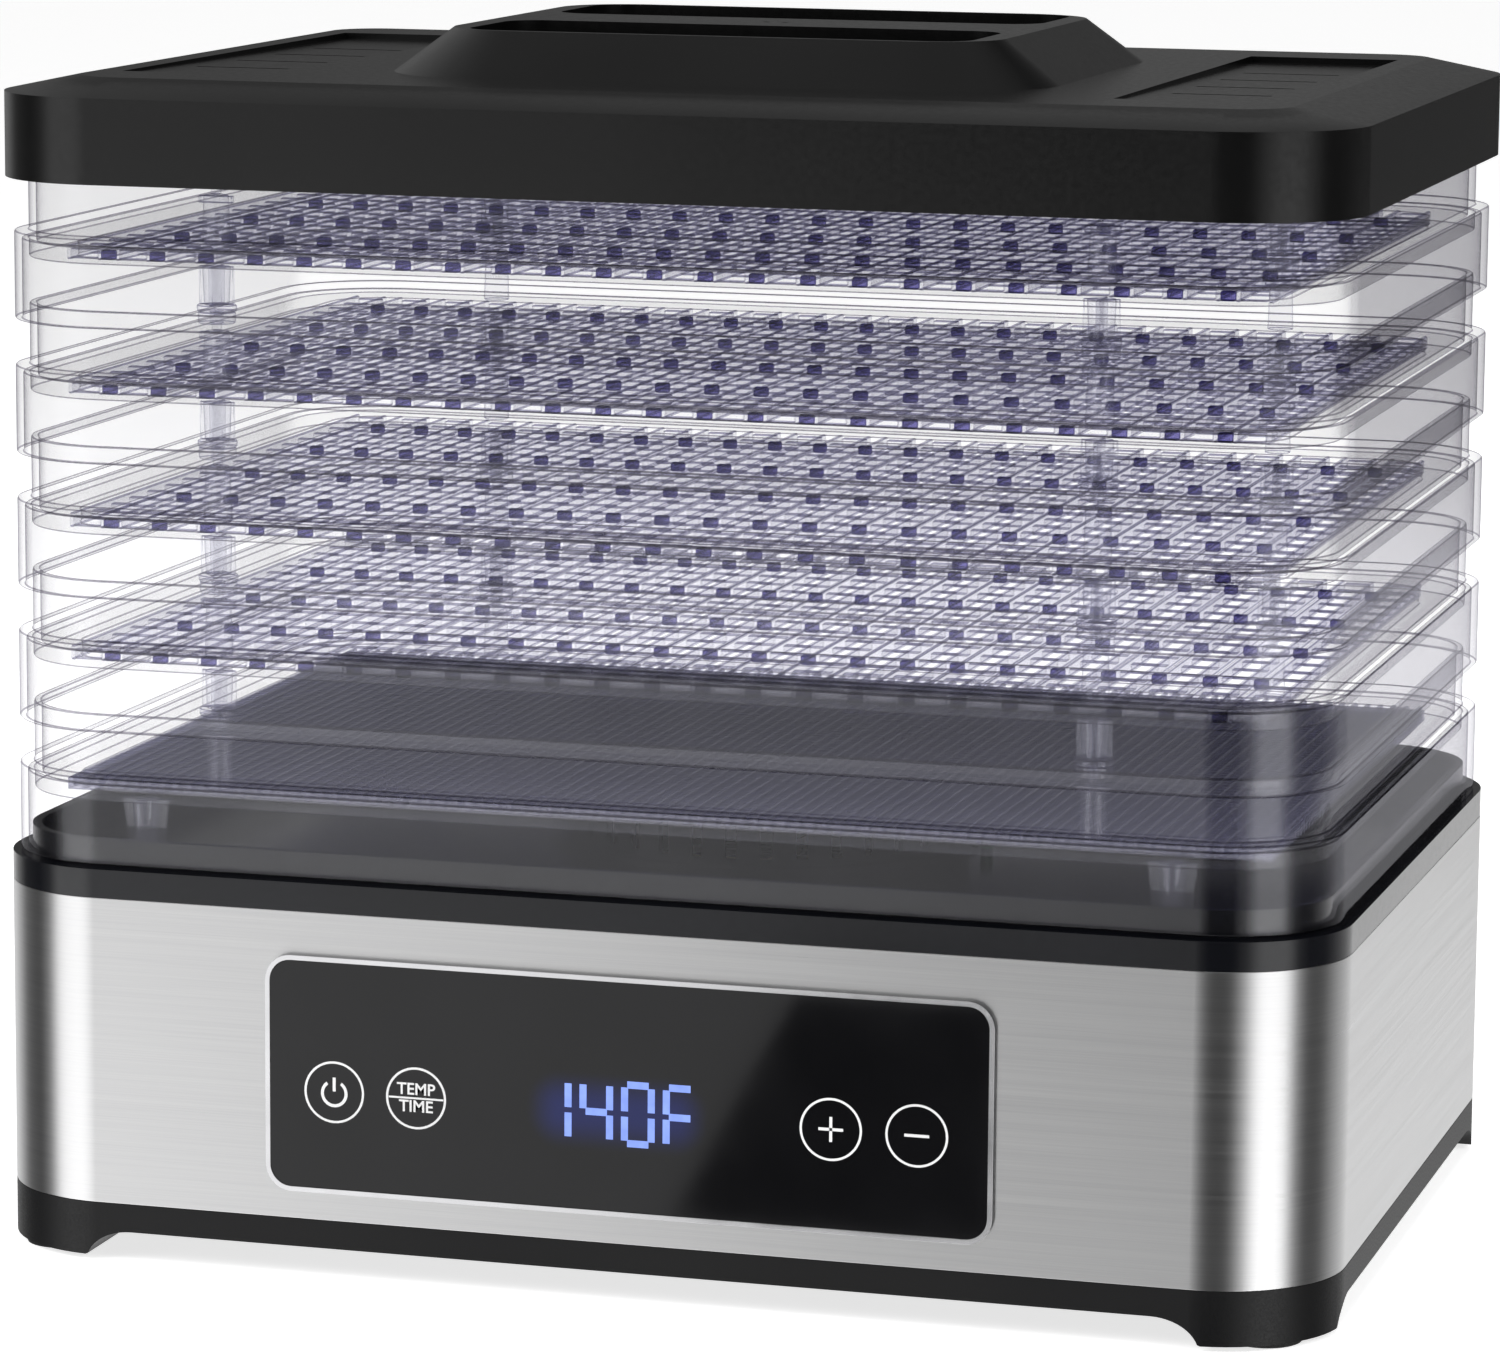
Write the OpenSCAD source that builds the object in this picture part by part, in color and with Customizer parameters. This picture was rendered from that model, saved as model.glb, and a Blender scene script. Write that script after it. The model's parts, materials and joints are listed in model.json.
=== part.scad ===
// Countertop food dehydrator: a fan-blown, heated base, five stacked trays and a lid.
// Millimetres. +Z is up, the front faces -Y, and the origin is on the standing surface
// under the middle of the base.

/* [Body] */
// Width of the base and the lid
body_w = 333; // [300:1:400]
// Depth of the base and the lid
body_d = 240; // [200:1:290]
// Radius of the upright corners
corner_r = 31; // [24:1:36]

/* [Base] */
// Clear height under the bottom housing, between the feet
foot_clear = 7.5; // [6:0.5:12]
// Height of the housing band below the steel
shell_band = 7; // [6:0.5:12]
// Height of the steel wrap
steel_h = 75.5; // [70:0.5:110]
// Thickness of the steel wrap
steel_t = 0.8; // [0.5:0.1:1.2]
// Height of the black rim on the steel
rim_h = 7; // [5:0.5:12]
// Height of the lip that stands on the rim
lip_h = 6.5; // [5:0.5:10]
// Distance of the lip from the outside of the rim
lip_inset = 4.8; // [4.6:0.1:6.5]
// Depth of the air basin below the top of the lip
basin_drop = 11.5; // [9:0.5:14]
// Wall thickness of the black mouldings
wall_t = 2.2; // [1.8:0.1:3]

/* [Control panel] */
// Width of the control panel
panel_w = 180; // [160:1:200]
// Height of the control panel
panel_h = 58; // [50:1:62]
// Corner radius of the control panel
panel_r = 6.5; // [5:0.5:9]
// How far the panel and the rear gland stand out from the steel
panel_proud = 1.4; // [1.2:0.1:2]
// Width of the chrome edge of the panel
bezel_edge = 1.2; // [0.8:0.1:2]

/* [Air heater] */
// Radius of the fan impeller
fan_r = 46; // [38:0.5:50]
// Running gap round the impeller
fan_gap = 5; // [3:0.5:8]
// Radius of the motor shaft
shaft_r = 2.5; // [2:0.25:4]
// Running clearance of the shaft in its bearings
shaft_clear = 0.05; // [0.02:0.01:0.1]

/* [Trays] */
// Height from one tray to the next
tray_pitch = 32.5; // [31:0.5:40]
// Height of a tray's outer skirt
skirt_h = 21.5; // [20:0.5:24]
// Height of a tray's upper wall above its shoulder
wall_rise = 15; // [13:0.5:18]
// Wall thickness of a tray
tray_t = 1.8; // [1.4:0.1:2.4]
// Distance of the skirt from the outside of the base
skirt_inset = 2; // [1.6:0.1:2.6]
// Step from the skirt in to the upper wall
wall_step = 3.5; // [3:0.1:4.5]
// Depth of the mesh floor below the shoulder
floor_drop = 3; // [2:0.5:4]
// Thickness of the mesh floor
mesh_t = 3.5; // [3:0.5:5]

/* [Lid] */
// Height of the lid's skirt
lid_skirt_h = 20.5; // [18:0.5:28]
// Height of tray wall that shows under the lid
lid_gap = 13; // [11:0.5:14]
// Height of the lid's sloped border
border_h = 3.8; // [3:0.1:6]
// Width of the lid's sloped border
border_w = 18; // [14:0.5:24]
// Height of the raised grip
grip_h = 10.7; // [9:0.1:16]

/* [Hidden] */
// Named sizes that follow from the ones above
half_w = body_w / 2;
half_d = body_d / 2;
z_steel = foot_clear + shell_band;
z_rim = z_steel + steel_h;
z_top = z_rim + rim_h;
z_lip = z_top + lip_h;
z_basin = z_lip - basin_drop;
z_deck = z_basin - wall_t;
skirt_gap = 0.5;
z_tray = z_top + skirt_gap + skirt_h;
tray_count = 5;
z_lid = z_tray + (tray_count - 1) * tray_pitch + lid_gap;
z_ledge = z_tray + (tray_count - 1) * tray_pitch + wall_rise;
z_border = z_lid + lid_skirt_h;
z_plateau = z_border + border_h;
z_grip = z_plateau + grip_h;

// Feet and base floor
pad_h = 1.2;
pad_r = 9;
pad_in = 16;
pad_sink = 1;
foot_w = 29;
foot_d = 26;
foot_slope = 11;
foot_steps = 10;
foot_turn = 70;
foot_edge = 1;
base_floor_t = 2.5;
z_floor = foot_clear + base_floor_t;
steel_seat = 0.2;
upstand_h = 8;
screw_r = 1.5;
screw_head_r = 3;
screw_head_h = 2;
column_r = 5;
column_x = half_w - 19;
column_y = half_d - 19;

// Motor, fan and heater, from the floor of the base upwards
grille_r = fan_r - 2;
grille_slot_w = 3.2;
grille_pitch = 8;
post_r = 5;
post_x = grille_r + 11;
z_bracket = z_floor + 11;
bracket_t = 1.6;
z_stack = z_bracket + bracket_t + 6;
stack_h = 16;
stack_w = 52;
stack_d = 44;
rotor_r = 12;
rotor_gap = 0.5;
bore_r = rotor_r + rotor_gap;
z_fan = z_stack + stack_h + 12;
fan_h = 12;
hub_r = 10;
duct_t = 0.8;
duct_r = fan_r + fan_gap;
z_duct = z_fan - 4;
flange_w = 9;
drum_r = duct_r;
drum_wall = 2;
drum_h = 14;
drum_seat = 0.3;
cap_r = drum_r - 8;
slot_count = 36;
coil_wire_r = 1.6;
mica_t = 0.8;
z_coil = z_deck - 9;
mica_h = 9;

// Control panel
panel_x = -1;
panel_z = z_steel + 36;
window_edge = 4;
window_gap = 0.2;
lens_t = 0.8;
lens_floor = 0.4;
plate_t = 2;
board_t = 1.6;
z_keys = panel_z - 3.9;
key_x = [-73.5, -52.8, 49.8, 70.6];
key_r = 4;
display_x = -2.6;
display_w = 42;
display_h = 18;
panel_depth = 7.5;
y_front = -half_d;
y_lens = y_front - lens_floor;
y_board = y_front + panel_depth;

// Trays: outlines as distances in from the outside of the base
wall_inset = skirt_inset + wall_step;
bore_inset = wall_inset + tray_t;
floor_border = 10;
mesh_inset = bore_inset + floor_border;
mesh_cells_x = 14;
mesh_cells_y = 9;
mesh_bar = 4;
post_in_x = 58.5;
post_in_y = 14;
pin_r = 1.25;
pin_len = 4.5;
pin_seat = 0.25;
col_r = 3.2;
cup_r = 4.8;
cup_h = 4.5;
cup_gap = 1.8;
leg_in_x = 39.5;
leg_in_y = 14;
leg_r_top = 7;
leg_r_foot = 4;

// Lid
grip_base_w = 168;
grip_base_d = 156;
grip_top_w = 138;
grip_top_d = 120;
grip_r = 34;
well_w = 126;
well_d = 43;
well_depth = 15.5;
well_r = 9;
bar_d = 30;
vent_x = 123;
vent_w = 38;
vent_d = 160;
vent_sink = 1.2;
slit_len = 24;
slit_w = 1.8;
slit_pitch = 28;
slit_count = 5;
slit_shift = -20;

// ---- shared shapes ----

// Rectangle with rounded corners, centred on the origin
module rounded_rect(w, d, r) {
    square([w - 2 * r, d], center = true);
    square([w, d - 2 * r], center = true);
    for (x = [-1, 1], y = [-1, 1])
        translate([x * (w / 2 - r), y * (d / 2 - r)])
            circle(r = r, $fn = 64);
}

// Outline of the base, moved inwards by an inset
module outline(inset) {
    rounded_rect(body_w - 2 * inset, body_d - 2 * inset, corner_r - inset);
}

// Solid slab of the outline between two heights
module slab(inset, z0, z1) {
    translate([0, 0, z0])
        linear_extrude(z1 - z0)
            outline(inset);
}

// Wall that follows the outline between two insets and two heights
module ring_wall(outer, inner, z0, z1) {
    translate([0, 0, z0])
        linear_extrude(z1 - z0)
            difference() {
                outline(outer);
                outline(inner);
            }
}

// Round bar from one height to another
module bar(r, z0, z1) {
    translate([0, 0, z0])
        cylinder(r = r, h = z1 - z0, $fn = 48);
}

// Copies at the four corners of a centred rectangle
module at_corners(x, y) {
    for (i = [-1, 1], j = [-1, 1])
        translate([i * x, j * y, 0])
            children();
}

// Cylinder along Y from y0 to y1
module bar_y(r, x, z, y0, y1) {
    translate([x, y1, z])
        rotate([90, 0, 0])
            cylinder(r = r, h = y1 - y0, $fn = 32);
}

// Plate that lies in the XZ plane, with rounded corners, from y0 to y1
module front_plate(x, z, w, h, r, y0, y1) {
    translate([x, y1, z])
        rotate([90, 0, 0])
            linear_extrude(y1 - y0)
                rounded_rect(w, h, r);
}

// ---- base ----

// Feet seen from the front or the side: the band's underside curves down into each foot
module foot_profile(half, foot) {
    drop = foot_clear - pad_h - foot_edge;
    arch = [for (i = [foot_steps : -1 : 0]) let (a = foot_turn * i / foot_steps)
        [half - foot - foot_slope * (1 - sin(a) / sin(foot_turn)),
         foot_clear - drop * (1 - cos(a)) / (1 - cos(foot_turn))]];
    for (s = [-1, 1])
        polygon([for (p = concat([[half, pad_h], [half - foot + foot_edge, pad_h],
                                  [half - foot + 0.3 * foot_edge, pad_h + 0.3 * foot_edge]],
                                 arch, [[half - foot - foot_slope, foot_clear + 1],
                                        [half, foot_clear + 1]])) [s * p.x, p.y]]);
}

module corner_feet() {
    intersection() {
        slab(0, pad_h, foot_clear + 1);
        rotate([90, 0, 0])
            linear_extrude(body_d, center = true)
                foot_profile(half_w, foot_w);
        rotate([90, 0, 90])
            linear_extrude(body_w, center = true)
                foot_profile(half_d, foot_d);
    }
}

module bottom_housing() {
    color("#161617")
    difference() {
        union() {
            slab(0, foot_clear, z_floor);
            ring_wall(0, wall_t, z_floor, z_steel);
            ring_wall(steel_t + steel_seat, steel_t + steel_seat + wall_t, z_floor,
                      z_steel + upstand_h);
            corner_feet();
            for (s = [-1, 1])
                translate([s * post_x, 0, 0])
                    bar(post_r, z_floor, z_bracket);
            at_power_board()
                bar(4, z_floor, z_floor + 8);
        }
        intersection() {
            bar(grille_r, foot_clear - 1, z_floor + 1);
            for (i = [-5 : 5])
                translate([i * grille_pitch - grille_slot_w / 2, -grille_r, foot_clear - 1])
                    cube([grille_slot_w, 2 * grille_r, base_floor_t + 2]);
        }
        at_corners(column_x, column_y) {
            bar(screw_r + 0.3, 0, z_floor + 1);
            bar(screw_head_r + 0.5, 0, z_floor - 1.5);
        }
        for (s = [-1, 1])
            translate([s * post_x, 0, 0])
                bar(screw_r, z_bracket - 8, z_bracket + 1);
        at_power_board()
            bar(screw_r - 0.2, z_floor + 2, z_floor + 9);
        at_corners(half_w - pad_in, half_d - pad_in)
            bar(pad_r, pad_h - 1, pad_h + pad_sink);
    }
}

module foot_pads() {
    color("#2a2a2c")
    at_corners(half_w - pad_in, half_d - pad_in)
        bar(pad_r, 0, pad_h + pad_sink);
}

module steel_wrap() {
    color("#b9bbbe")
    difference() {
        ring_wall(0, steel_t, z_steel, z_rim);
        front_plate(panel_x, panel_z, panel_w - 2 * window_edge + 2 * window_gap,
                    panel_h - 2 * window_edge + 2 * window_gap, 3,
                    y_front - 1, y_front + steel_t + 1);
        bar_y(7.2, gland_x, gland_z, half_d - steel_t - 1, half_d + 1);
    }
}

module top_deck() {
    color("#0e0f12")
    difference() {
        union() {
            ring_wall(0, lip_inset + wall_t, z_rim, z_top);
            ring_wall(lip_inset, lip_inset + wall_t, z_deck, z_lip);
            ring_wall(steel_t + steel_seat, lip_inset + wall_t, z_deck, z_rim);
            ring_wall(steel_t + steel_seat, steel_t + steel_seat + wall_t, z_rim - 6, z_rim);
            slab(lip_inset, z_deck, z_basin);
            at_corners(column_x, column_y)
                bar(column_r, z_floor, z_deck);
        }
        bar(drum_r - drum_wall - 2, z_deck - 1, z_basin + 1);
        at_corners(column_x, column_y)
            bar(screw_r, z_floor - 1, z_floor + 14);
        at_duct_screws()
            bar(screw_r - 0.3, z_deck - 1, z_basin - 0.8);
        translate([sensor_x, 0, 0])
            bar(2.2, z_deck - 1, z_basin + 1);
    }
}

// Ring of slotted wall that lets the warm air out sideways and up
module diffuser_drum() {
    color("#0b0c0f")
    difference() {
        union() {
            translate([0, 0, z_basin])
                difference() {
                    union() {
                        cylinder(r = drum_r, h = drum_h, $fn = 96);
                        cylinder(r = drum_r + 4, h = 1.6, $fn = 96);
                    }
                    translate([0, 0, -1])
                        cylinder(r = drum_r - drum_wall, h = drum_h + 2, $fn = 96);
                }
            bar(cap_r + 1, z_basin + drum_h - 2, z_basin + drum_h - 0.5);
            for (a = [0 : 60 : 179])
                rotate([0, 0, a])
                    translate([1 - drum_r, -1, z_basin + drum_h - 5])
                        cube([2 * (drum_r - 1), 2, 4]);
        }
        for (i = [0 : slot_count - 1])
            rotate([0, 0, (i + 0.5) * 360 / slot_count])
                translate([drum_r - drum_wall - 1, -1.4, z_basin + 3])
                    cube([drum_wall + 3, 2.8, drum_h - 5.5]);
    }
}

// Shallow dome on the drum, as wide as cap_r and 3.5 high
module drum_cap() {
    dome_h = 3.5;
    dome_r = (cap_r * cap_r + dome_h * dome_h) / (2 * dome_h);
    color("#101217")
    translate([0, 0, z_basin + drum_h - 0.5])
        rotate_extrude($fn = 96)
            intersection() {
                translate([0, dome_h - dome_r])
                    circle(r = dome_r, $fn = 720);
                square([cap_r, dome_h + 1]);
            }
}

// ---- air heater ----

module at_duct_screws() {
    for (a = [30 : 120 : 270])
        rotate([0, 0, a])
            translate([duct_r + duct_t + flange_w / 2, 0, 0])
                children();
}

module air_duct() {
    color("#9a9c9f")
    difference() {
        union() {
            bar(duct_r + duct_t, z_duct, z_deck);
            bar(duct_r + duct_t + flange_w, z_deck - duct_t, z_deck);
        }
        bar(duct_r, z_duct - 1, z_deck + 1);
        at_duct_screws()
            bar(screw_r, z_deck - duct_t - 1, z_deck + 1);
        translate([sensor_x, 0, 0])
            bar(2.6, z_deck - duct_t - 1, z_deck + 1);
        // Slots in the wall that hold the ends of the mica plates
        for (a = [0, 90])
            rotate([0, 0, a])
                translate([-duct_r - 2, -mica_t / 2 - 0.1, z_coil - mica_h / 2 - 0.1])
                    cube([2 * duct_r + 4, mica_t + 0.2, mica_h + 0.2]);
    }
}

module duct_screws() {
    color("#8d9093")
    at_duct_screws() {
        bar(screw_r - 0.3, z_deck - duct_t, z_basin - 0.8);
        bar(screw_head_r - 0.5, z_deck - duct_t - screw_head_h, z_deck - duct_t);
    }
}

coil_inner_r = 14;
coil_turns = 4;
coil_pitch = (duct_r - 13 - coil_inner_r) / (coil_turns - 1);
coil_radii = [for (i = [0 : coil_turns - 1]) coil_inner_r + i * coil_pitch];

// Two crossed mica plates with a hole for each turn of the coil
module heater_frame() {
    color("#a58f63")
    difference() {
        for (a = [0, 90])
            rotate([0, 0, a])
                translate([-duct_r - 1, -mica_t / 2, z_coil - mica_h / 2])
                    cube([2 * duct_r + 2, mica_t, mica_h]);
        for (r = coil_radii, a = [0 : 90 : 359])
            rotate([0, 0, a])
                translate([r, 0, z_coil])
                    rotate([90, 0, 0])
                        cylinder(r = coil_wire_r + 0.3, h = 6, center = true, $fn = 24);
    }
}

module heater_coil() {
    color("#6f625a")
    translate([0, 0, z_coil])
        for (r = coil_radii)
            rotate_extrude($fn = 96)
                translate([r, 0])
                    circle(r = coil_wire_r, $fn = 24);
}

module thermal_cutoff() {
    color("#c9c5bb")
    rotate([0, 0, 225])
    translate([duct_r + duct_t + 4.6, 0, z_coil + 1]) {
        cylinder(r = 2.5, h = 4, $fn = 32);
        translate([0, 0, -9])
            cylinder(r = 4.5, h = 9, $fn = 32);
    }
}

sensor_x = duct_r + duct_t + 5;

module temperature_sensor() {
    color("#2f6b3a")
    translate([sensor_x, 0, 0]) {
        bar(1.6, z_deck - 8, z_basin + 6);
        bar(3.4, z_deck - 10, z_deck - 4);
    }
}

// ---- motor and fan ----

module motor_bracket() {
    color("#a9abad")
    difference() {
        translate([-post_x - 8, -11, z_bracket])
            cube([2 * post_x + 16, 22, bracket_t]);
        for (s = [-1, 1])
            translate([s * post_x, 0, 0])
                bar(screw_r + 0.2, z_bracket - 1, z_bracket + bracket_t + 1);
        bar(shaft_r + 2, z_bracket - 1, z_bracket + bracket_t + 1);
    }
}

module bracket_screws() {
    color("#8d9093")
    for (s = [-1, 1])
        translate([s * post_x, 0, 0]) {
            bar(screw_r, z_bracket - 8, z_bracket + bracket_t);
            bar(screw_head_r, z_bracket + bracket_t, z_bracket + bracket_t + screw_head_h);
        }
}

// Laminated stack with the rotor bore and the slot for the winding's limb
module motor_stator() {
    color("#5c5f63")
    difference() {
        translate([-stack_w / 2, -stack_d / 2, z_stack])
            cube([stack_w, stack_d + 14, stack_h]);
        bar(bore_r, z_stack - 1, z_stack + stack_h + 1);
        for (s = [-1, 1])
            translate([s * 17 - 9, stack_d / 2 - 5, z_stack - 1])
                cube([18, 13, stack_h + 2]);
    }
}

module motor_winding() {
    color("#a2542a")
    difference() {
        translate([-17, stack_d / 2 - 4.5, z_stack - 5])
            cube([34, 12, stack_h + 10]);
        translate([-8.2, stack_d / 2 - 6, z_stack - 0.2])
            cube([16.4, 15, stack_h + 0.4]);
    }
}

// Two pressed bridges, under and over the stack, that hold the sleeve bearings
module bearing_bridge() {
    color("#b4b6b8")
    difference() {
        union() {
            for (z = [z_stack - 6, z_stack + stack_h + 4.4])
                translate([-24, -7, z])
                    cube([48, 14, 1.6]);
            for (z = [z_stack - 4.4, z_stack + stack_h], s = [-1, 1])
                translate([s * 21.5 - 2.5, -7, z])
                    cube([5, 14, 4.4]);
            bar(shaft_r + 2.8, z_stack - 6, z_stack - 1.5);
            bar(shaft_r + 2.8, z_stack + stack_h + 1.5, z_stack + stack_h + 6);
        }
        bar(shaft_r + shaft_clear, z_stack - 8, z_stack + stack_h + 8);
    }
}

module motor_rotor() {
    color("#7a7d80")
    difference() {
        bar(rotor_r, z_stack, z_stack + stack_h);
        bar(shaft_r, z_stack - 1, z_stack + stack_h + 1);
    }
}

module motor_shaft() {
    color("#c3c5c7")
    bar(shaft_r, z_stack - 8, z_fan + fan_h + 4);
}

module fan_impeller() {
    color("#c8cacb")
    difference() {
        union() {
            bar(hub_r, z_fan, z_fan + fan_h);
            intersection() {
                bar(fan_r, z_fan, z_fan + fan_h);
                for (a = [0 : 60 : 359])
                    rotate([0, 0, a])
                        translate([fan_r / 2 + 2, 0, z_fan + fan_h / 2])
                            rotate([32, 0, 0])
                                cube([fan_r + 4, 22, 1.2], center = true);
            }
        }
        bar(shaft_r, z_fan - 1, z_fan + fan_h + 1);
    }
}

module impeller_clip() {
    color("#d0d2d4")
    difference() {
        bar(shaft_r + 2.5, z_fan + fan_h, z_fan + fan_h + 1.2);
        bar(shaft_r, z_fan + fan_h - 1, z_fan + fan_h + 2);
    }
}

// ---- control panel ----

module panel_bezel() {
    color("#c7c9cc")
    difference() {
        union() {
            front_plate(panel_x, panel_z, panel_w, panel_h, panel_r,
                        y_front - panel_proud, y_front);
            front_plate(panel_x, panel_z, panel_w - 2 * window_edge,
                        panel_h - 2 * window_edge, 3, y_front, y_front + plate_t);
            at_board_posts()
                bar_y(3.2, 0, 0, y_front + plate_t, y_board);
        }
        front_plate(panel_x, panel_z, panel_w - 2 * bezel_edge, panel_h - 2 * bezel_edge,
                    panel_r - bezel_edge, y_front - panel_proud - 1, y_lens);
        front_plate(display_x, z_keys, display_w + 1, display_h + 1, 1,
                    y_front - 2, y_front + plate_t + 1);
        for (x = key_x)
            bar_y(key_r + 1, x, z_keys, y_front - 2, y_front + plate_t + 1);
        at_board_posts()
            bar_y(1.1, 0, 0, y_board - 4, y_board + 1);
    }
}

module at_board_posts() {
    for (x = [-68, 66], z = [panel_z - 19, panel_z + 19])
        translate([x, 0, z])
            children();
}

module panel_lens() {
    color("#0a0a0b")
    front_plate(panel_x, panel_z, panel_w - 2 * bezel_edge, panel_h - 2 * bezel_edge,
                panel_r - bezel_edge, y_lens - lens_t, y_lens);
}

module display_module() {
    color("#1d2430")
    front_plate(display_x, z_keys, display_w, display_h, 0.8, y_front + 0.3, y_board);
}

module control_board() {
    color("#1f6b3b")
    difference() {
        front_plate(panel_x, panel_z, 156, 46, 1.5, y_board, y_board + board_t);
        at_board_posts()
            bar_y(1.3, 0, 0, y_board - 1, y_board + board_t + 1);
    }
}

// Open coils that carry the touch signal from the board to the back of the lens
module touch_springs() {
    color("#d8c06a")
    for (x = key_x)
        difference() {
            bar_y(key_r, x, z_keys, y_lens, y_board);
            bar_y(key_r - 0.8, x, z_keys, y_lens - 1, y_board + 1);
        }
}

module board_screws() {
    color("#8d9093")
    at_board_posts() {
        bar_y(1.1, 0, 0, y_board - 4, y_board + board_t);
        bar_y(2.4, 0, 0, y_board + board_t, y_board + board_t + 1.6);
    }
}

// ---- mains side ----

power_x = -108;
power_y = 42;
power_w = 72;
power_d = 88;
z_power = z_floor + 8;

module at_power_board() {
    translate([power_x, power_y, 0])
        at_corners(power_w / 2 - 6, power_d / 2 - 6)
            children();
}

module power_board() {
    color("#2a7a45")
    difference() {
        translate([power_x - power_w / 2, power_y - power_d / 2, z_power])
            cube([power_w, power_d, board_t]);
        at_power_board()
            bar(1.5, z_power - 1, z_power + board_t + 1);
    }
}

// Relay, capacitor, small transformer and fuse on the power board
module board_parts() {
    color("#31353d")
    translate([power_x, power_y, z_power + board_t]) {
        translate([-24, -34, 0])
            cube([20, 16, 16]);
        translate([4, -32, 0])
            cube([24, 22, 20]);
        translate([-16, -4, 0])
            cylinder(r = 6, h = 18, $fn = 32);
        translate([2, -2, 0])
            cube([22, 8, 9]);
        translate([-22, 12, 0])
            cube([16, 10, 13]);
    }
}

module power_board_screws() {
    color("#8d9093")
    at_power_board() {
        bar(screw_r - 0.2, z_power - 6, z_power + board_t);
        bar(screw_head_r - 0.4, z_power + board_t, z_power + board_t + 1.8);
    }
}

module terminal_block() {
    color("#e6e2d6")
    translate([power_x + 2, power_y + 18, z_power + board_t])
        difference() {
            cube([28, 14, 14]);
            for (i = [0 : 2])
                translate([5 + 9 * i, 7, 4])
                    cylinder(r = 2.6, h = 12, $fn = 24);
        }
}

// A lead laid along a list of points; each length runs a little past its ends
module lead(points, r) {
    for (i = [0 : len(points) - 2]) {
        v = points[i + 1] - points[i];
        l = norm(v);
        translate(points[i])
            rotate([0, acos(v[2] / l), atan2(v[1], v[0])])
                translate([0, 0, -r])
                    cylinder(r = r + 0.12 * (i % 2), h = l + 2 * r, $fn = 24);
    }
}

// Insulated leads inside the base, held clear of the fan and the duct
module wiring() {
    y_back = power_y + power_d / 2;
    z_lead = z_power + board_t + 3;
    z_high = z_duct - 4;
    color("#b3402c") {
        lead([[gland_x, half_d - 12, gland_z], [gland_x, y_back + 6, gland_z],
              [power_x + 16, y_back + 6, z_lead + 14],
              [power_x + 16, power_y + 35, z_lead + 6]], 1.4);
        lead([[power_x + power_w / 2 - 8, power_y + 6, z_lead],
              [power_x + power_w / 2 + 8, power_y + 6, z_lead + 4],
              [-19, stack_d / 2 + 22, z_lead + 3],
              [-14, stack_d / 2 + 9.2, z_stack - 3]], 1.2);
        lead([[power_x - 12, power_y - 38, z_lead],
              [power_x - 12, power_y - 60, z_lead],
              [-60, y_front + 20, z_lead + 6],
              [-60, y_board + board_t + 2.8, z_lead + 10]], 1.2);
        lead([[power_x + 10, power_y - 38, z_lead],
              [power_x + 10, power_y - 50, z_lead + 10],
              [-duct_r - 14, -30, z_high + 10],
              [-42, -42, z_coil - 10.6]], 1.2);
    }
}

gland_x = -108;
gland_z = z_steel + 20;

// Bushing where the mains lead enters, empty because no lead is fitted
module cord_gland() {
    color("#1a1a1b")
    difference() {
        union() {
            bar_y(11, gland_x, gland_z, half_d, half_d + panel_proud);
            bar_y(7, gland_x, gland_z, half_d - 8, half_d);
            bar_y(9.5, gland_x, gland_z, half_d - steel_t - wall_t - 2, half_d - steel_t);
        }
        bar_y(3.4, gland_x, gland_z, half_d - 9, half_d + panel_proud + 1);
    }
}

module housing_screws() {
    color("#8d9093")
    at_corners(column_x, column_y) {
        bar(screw_r, z_floor - 1.5, z_floor + 13);
        bar(screw_head_r, z_floor - 1.5 - screw_head_h, z_floor - 1.5);
    }
}

// ---- trays ----

module at_posts() {
    at_corners(half_w - post_in_x, half_d - post_in_y)
        children();
}

// One tray wall, shoulder at height z
module tray_frame(z) {
    floor_top = z - floor_drop;
    floor_low = floor_top - mesh_t;
    color("#dfe3ee") {
        ring_wall(wall_inset, bore_inset, floor_low, z + wall_rise);
        ring_wall(skirt_inset, bore_inset, z - tray_t, z);
        ring_wall(skirt_inset, skirt_inset + tray_t, z - skirt_h, z);
        ring_wall(bore_inset - 0.5, mesh_inset, floor_low, floor_top);
    }
}

// Columns with pins on the tray's floor, and cups below it; the lowest tray has long tapered legs
module tray_posts(z, lowest) {
    floor_top = z - floor_drop;
    floor_low = floor_top - mesh_t;
    col_top = z + wall_rise - pin_len;
    cup_low = col_top + cup_gap - tray_pitch;
    color("#dfe3ee") {
        at_posts() {
            bar(col_r, floor_top, col_top);
            bar(pin_r, col_top, z + wall_rise);
        }
        if (lowest)
            at_corners(half_w - leg_in_x, half_d - leg_in_y)
                translate([0, 0, z_basin])
                    cylinder(r1 = leg_r_foot, r2 = leg_r_top, h = floor_low - z_basin,
                             $fn = 48);
        else
            at_posts()
                difference() {
                    union() {
                        bar(col_r, cup_low + cup_h, floor_low);
                        bar(cup_r, cup_low, cup_low + cup_h);
                    }
                    bar(pin_r + pin_seat, cup_low - 1, z + wall_rise - tray_pitch);
                }
    }
}

// Mesh floor that fills the frame's inner border
module tray_mesh(z) {
    w = body_w - 2 * mesh_inset;
    d = body_d - 2 * mesh_inset;
    cell_w = (w - mesh_bar) / mesh_cells_x;
    cell_d = (d - mesh_bar) / mesh_cells_y;
    color("#cfd3e2")
    translate([0, 0, z - floor_drop - mesh_t])
        linear_extrude(mesh_t)
            difference() {
                outline(mesh_inset);
                for (i = [0 : mesh_cells_x - 1], j = [0 : mesh_cells_y - 1])
                    if (!((i == 0 || i == mesh_cells_x - 1) && (j == 0 || j == mesh_cells_y - 1)))
                        translate([-w / 2 + mesh_bar + i * cell_w, -d / 2 + mesh_bar + j * cell_d])
                            square([cell_w - mesh_bar, cell_d - mesh_bar]);
            }
}

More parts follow.
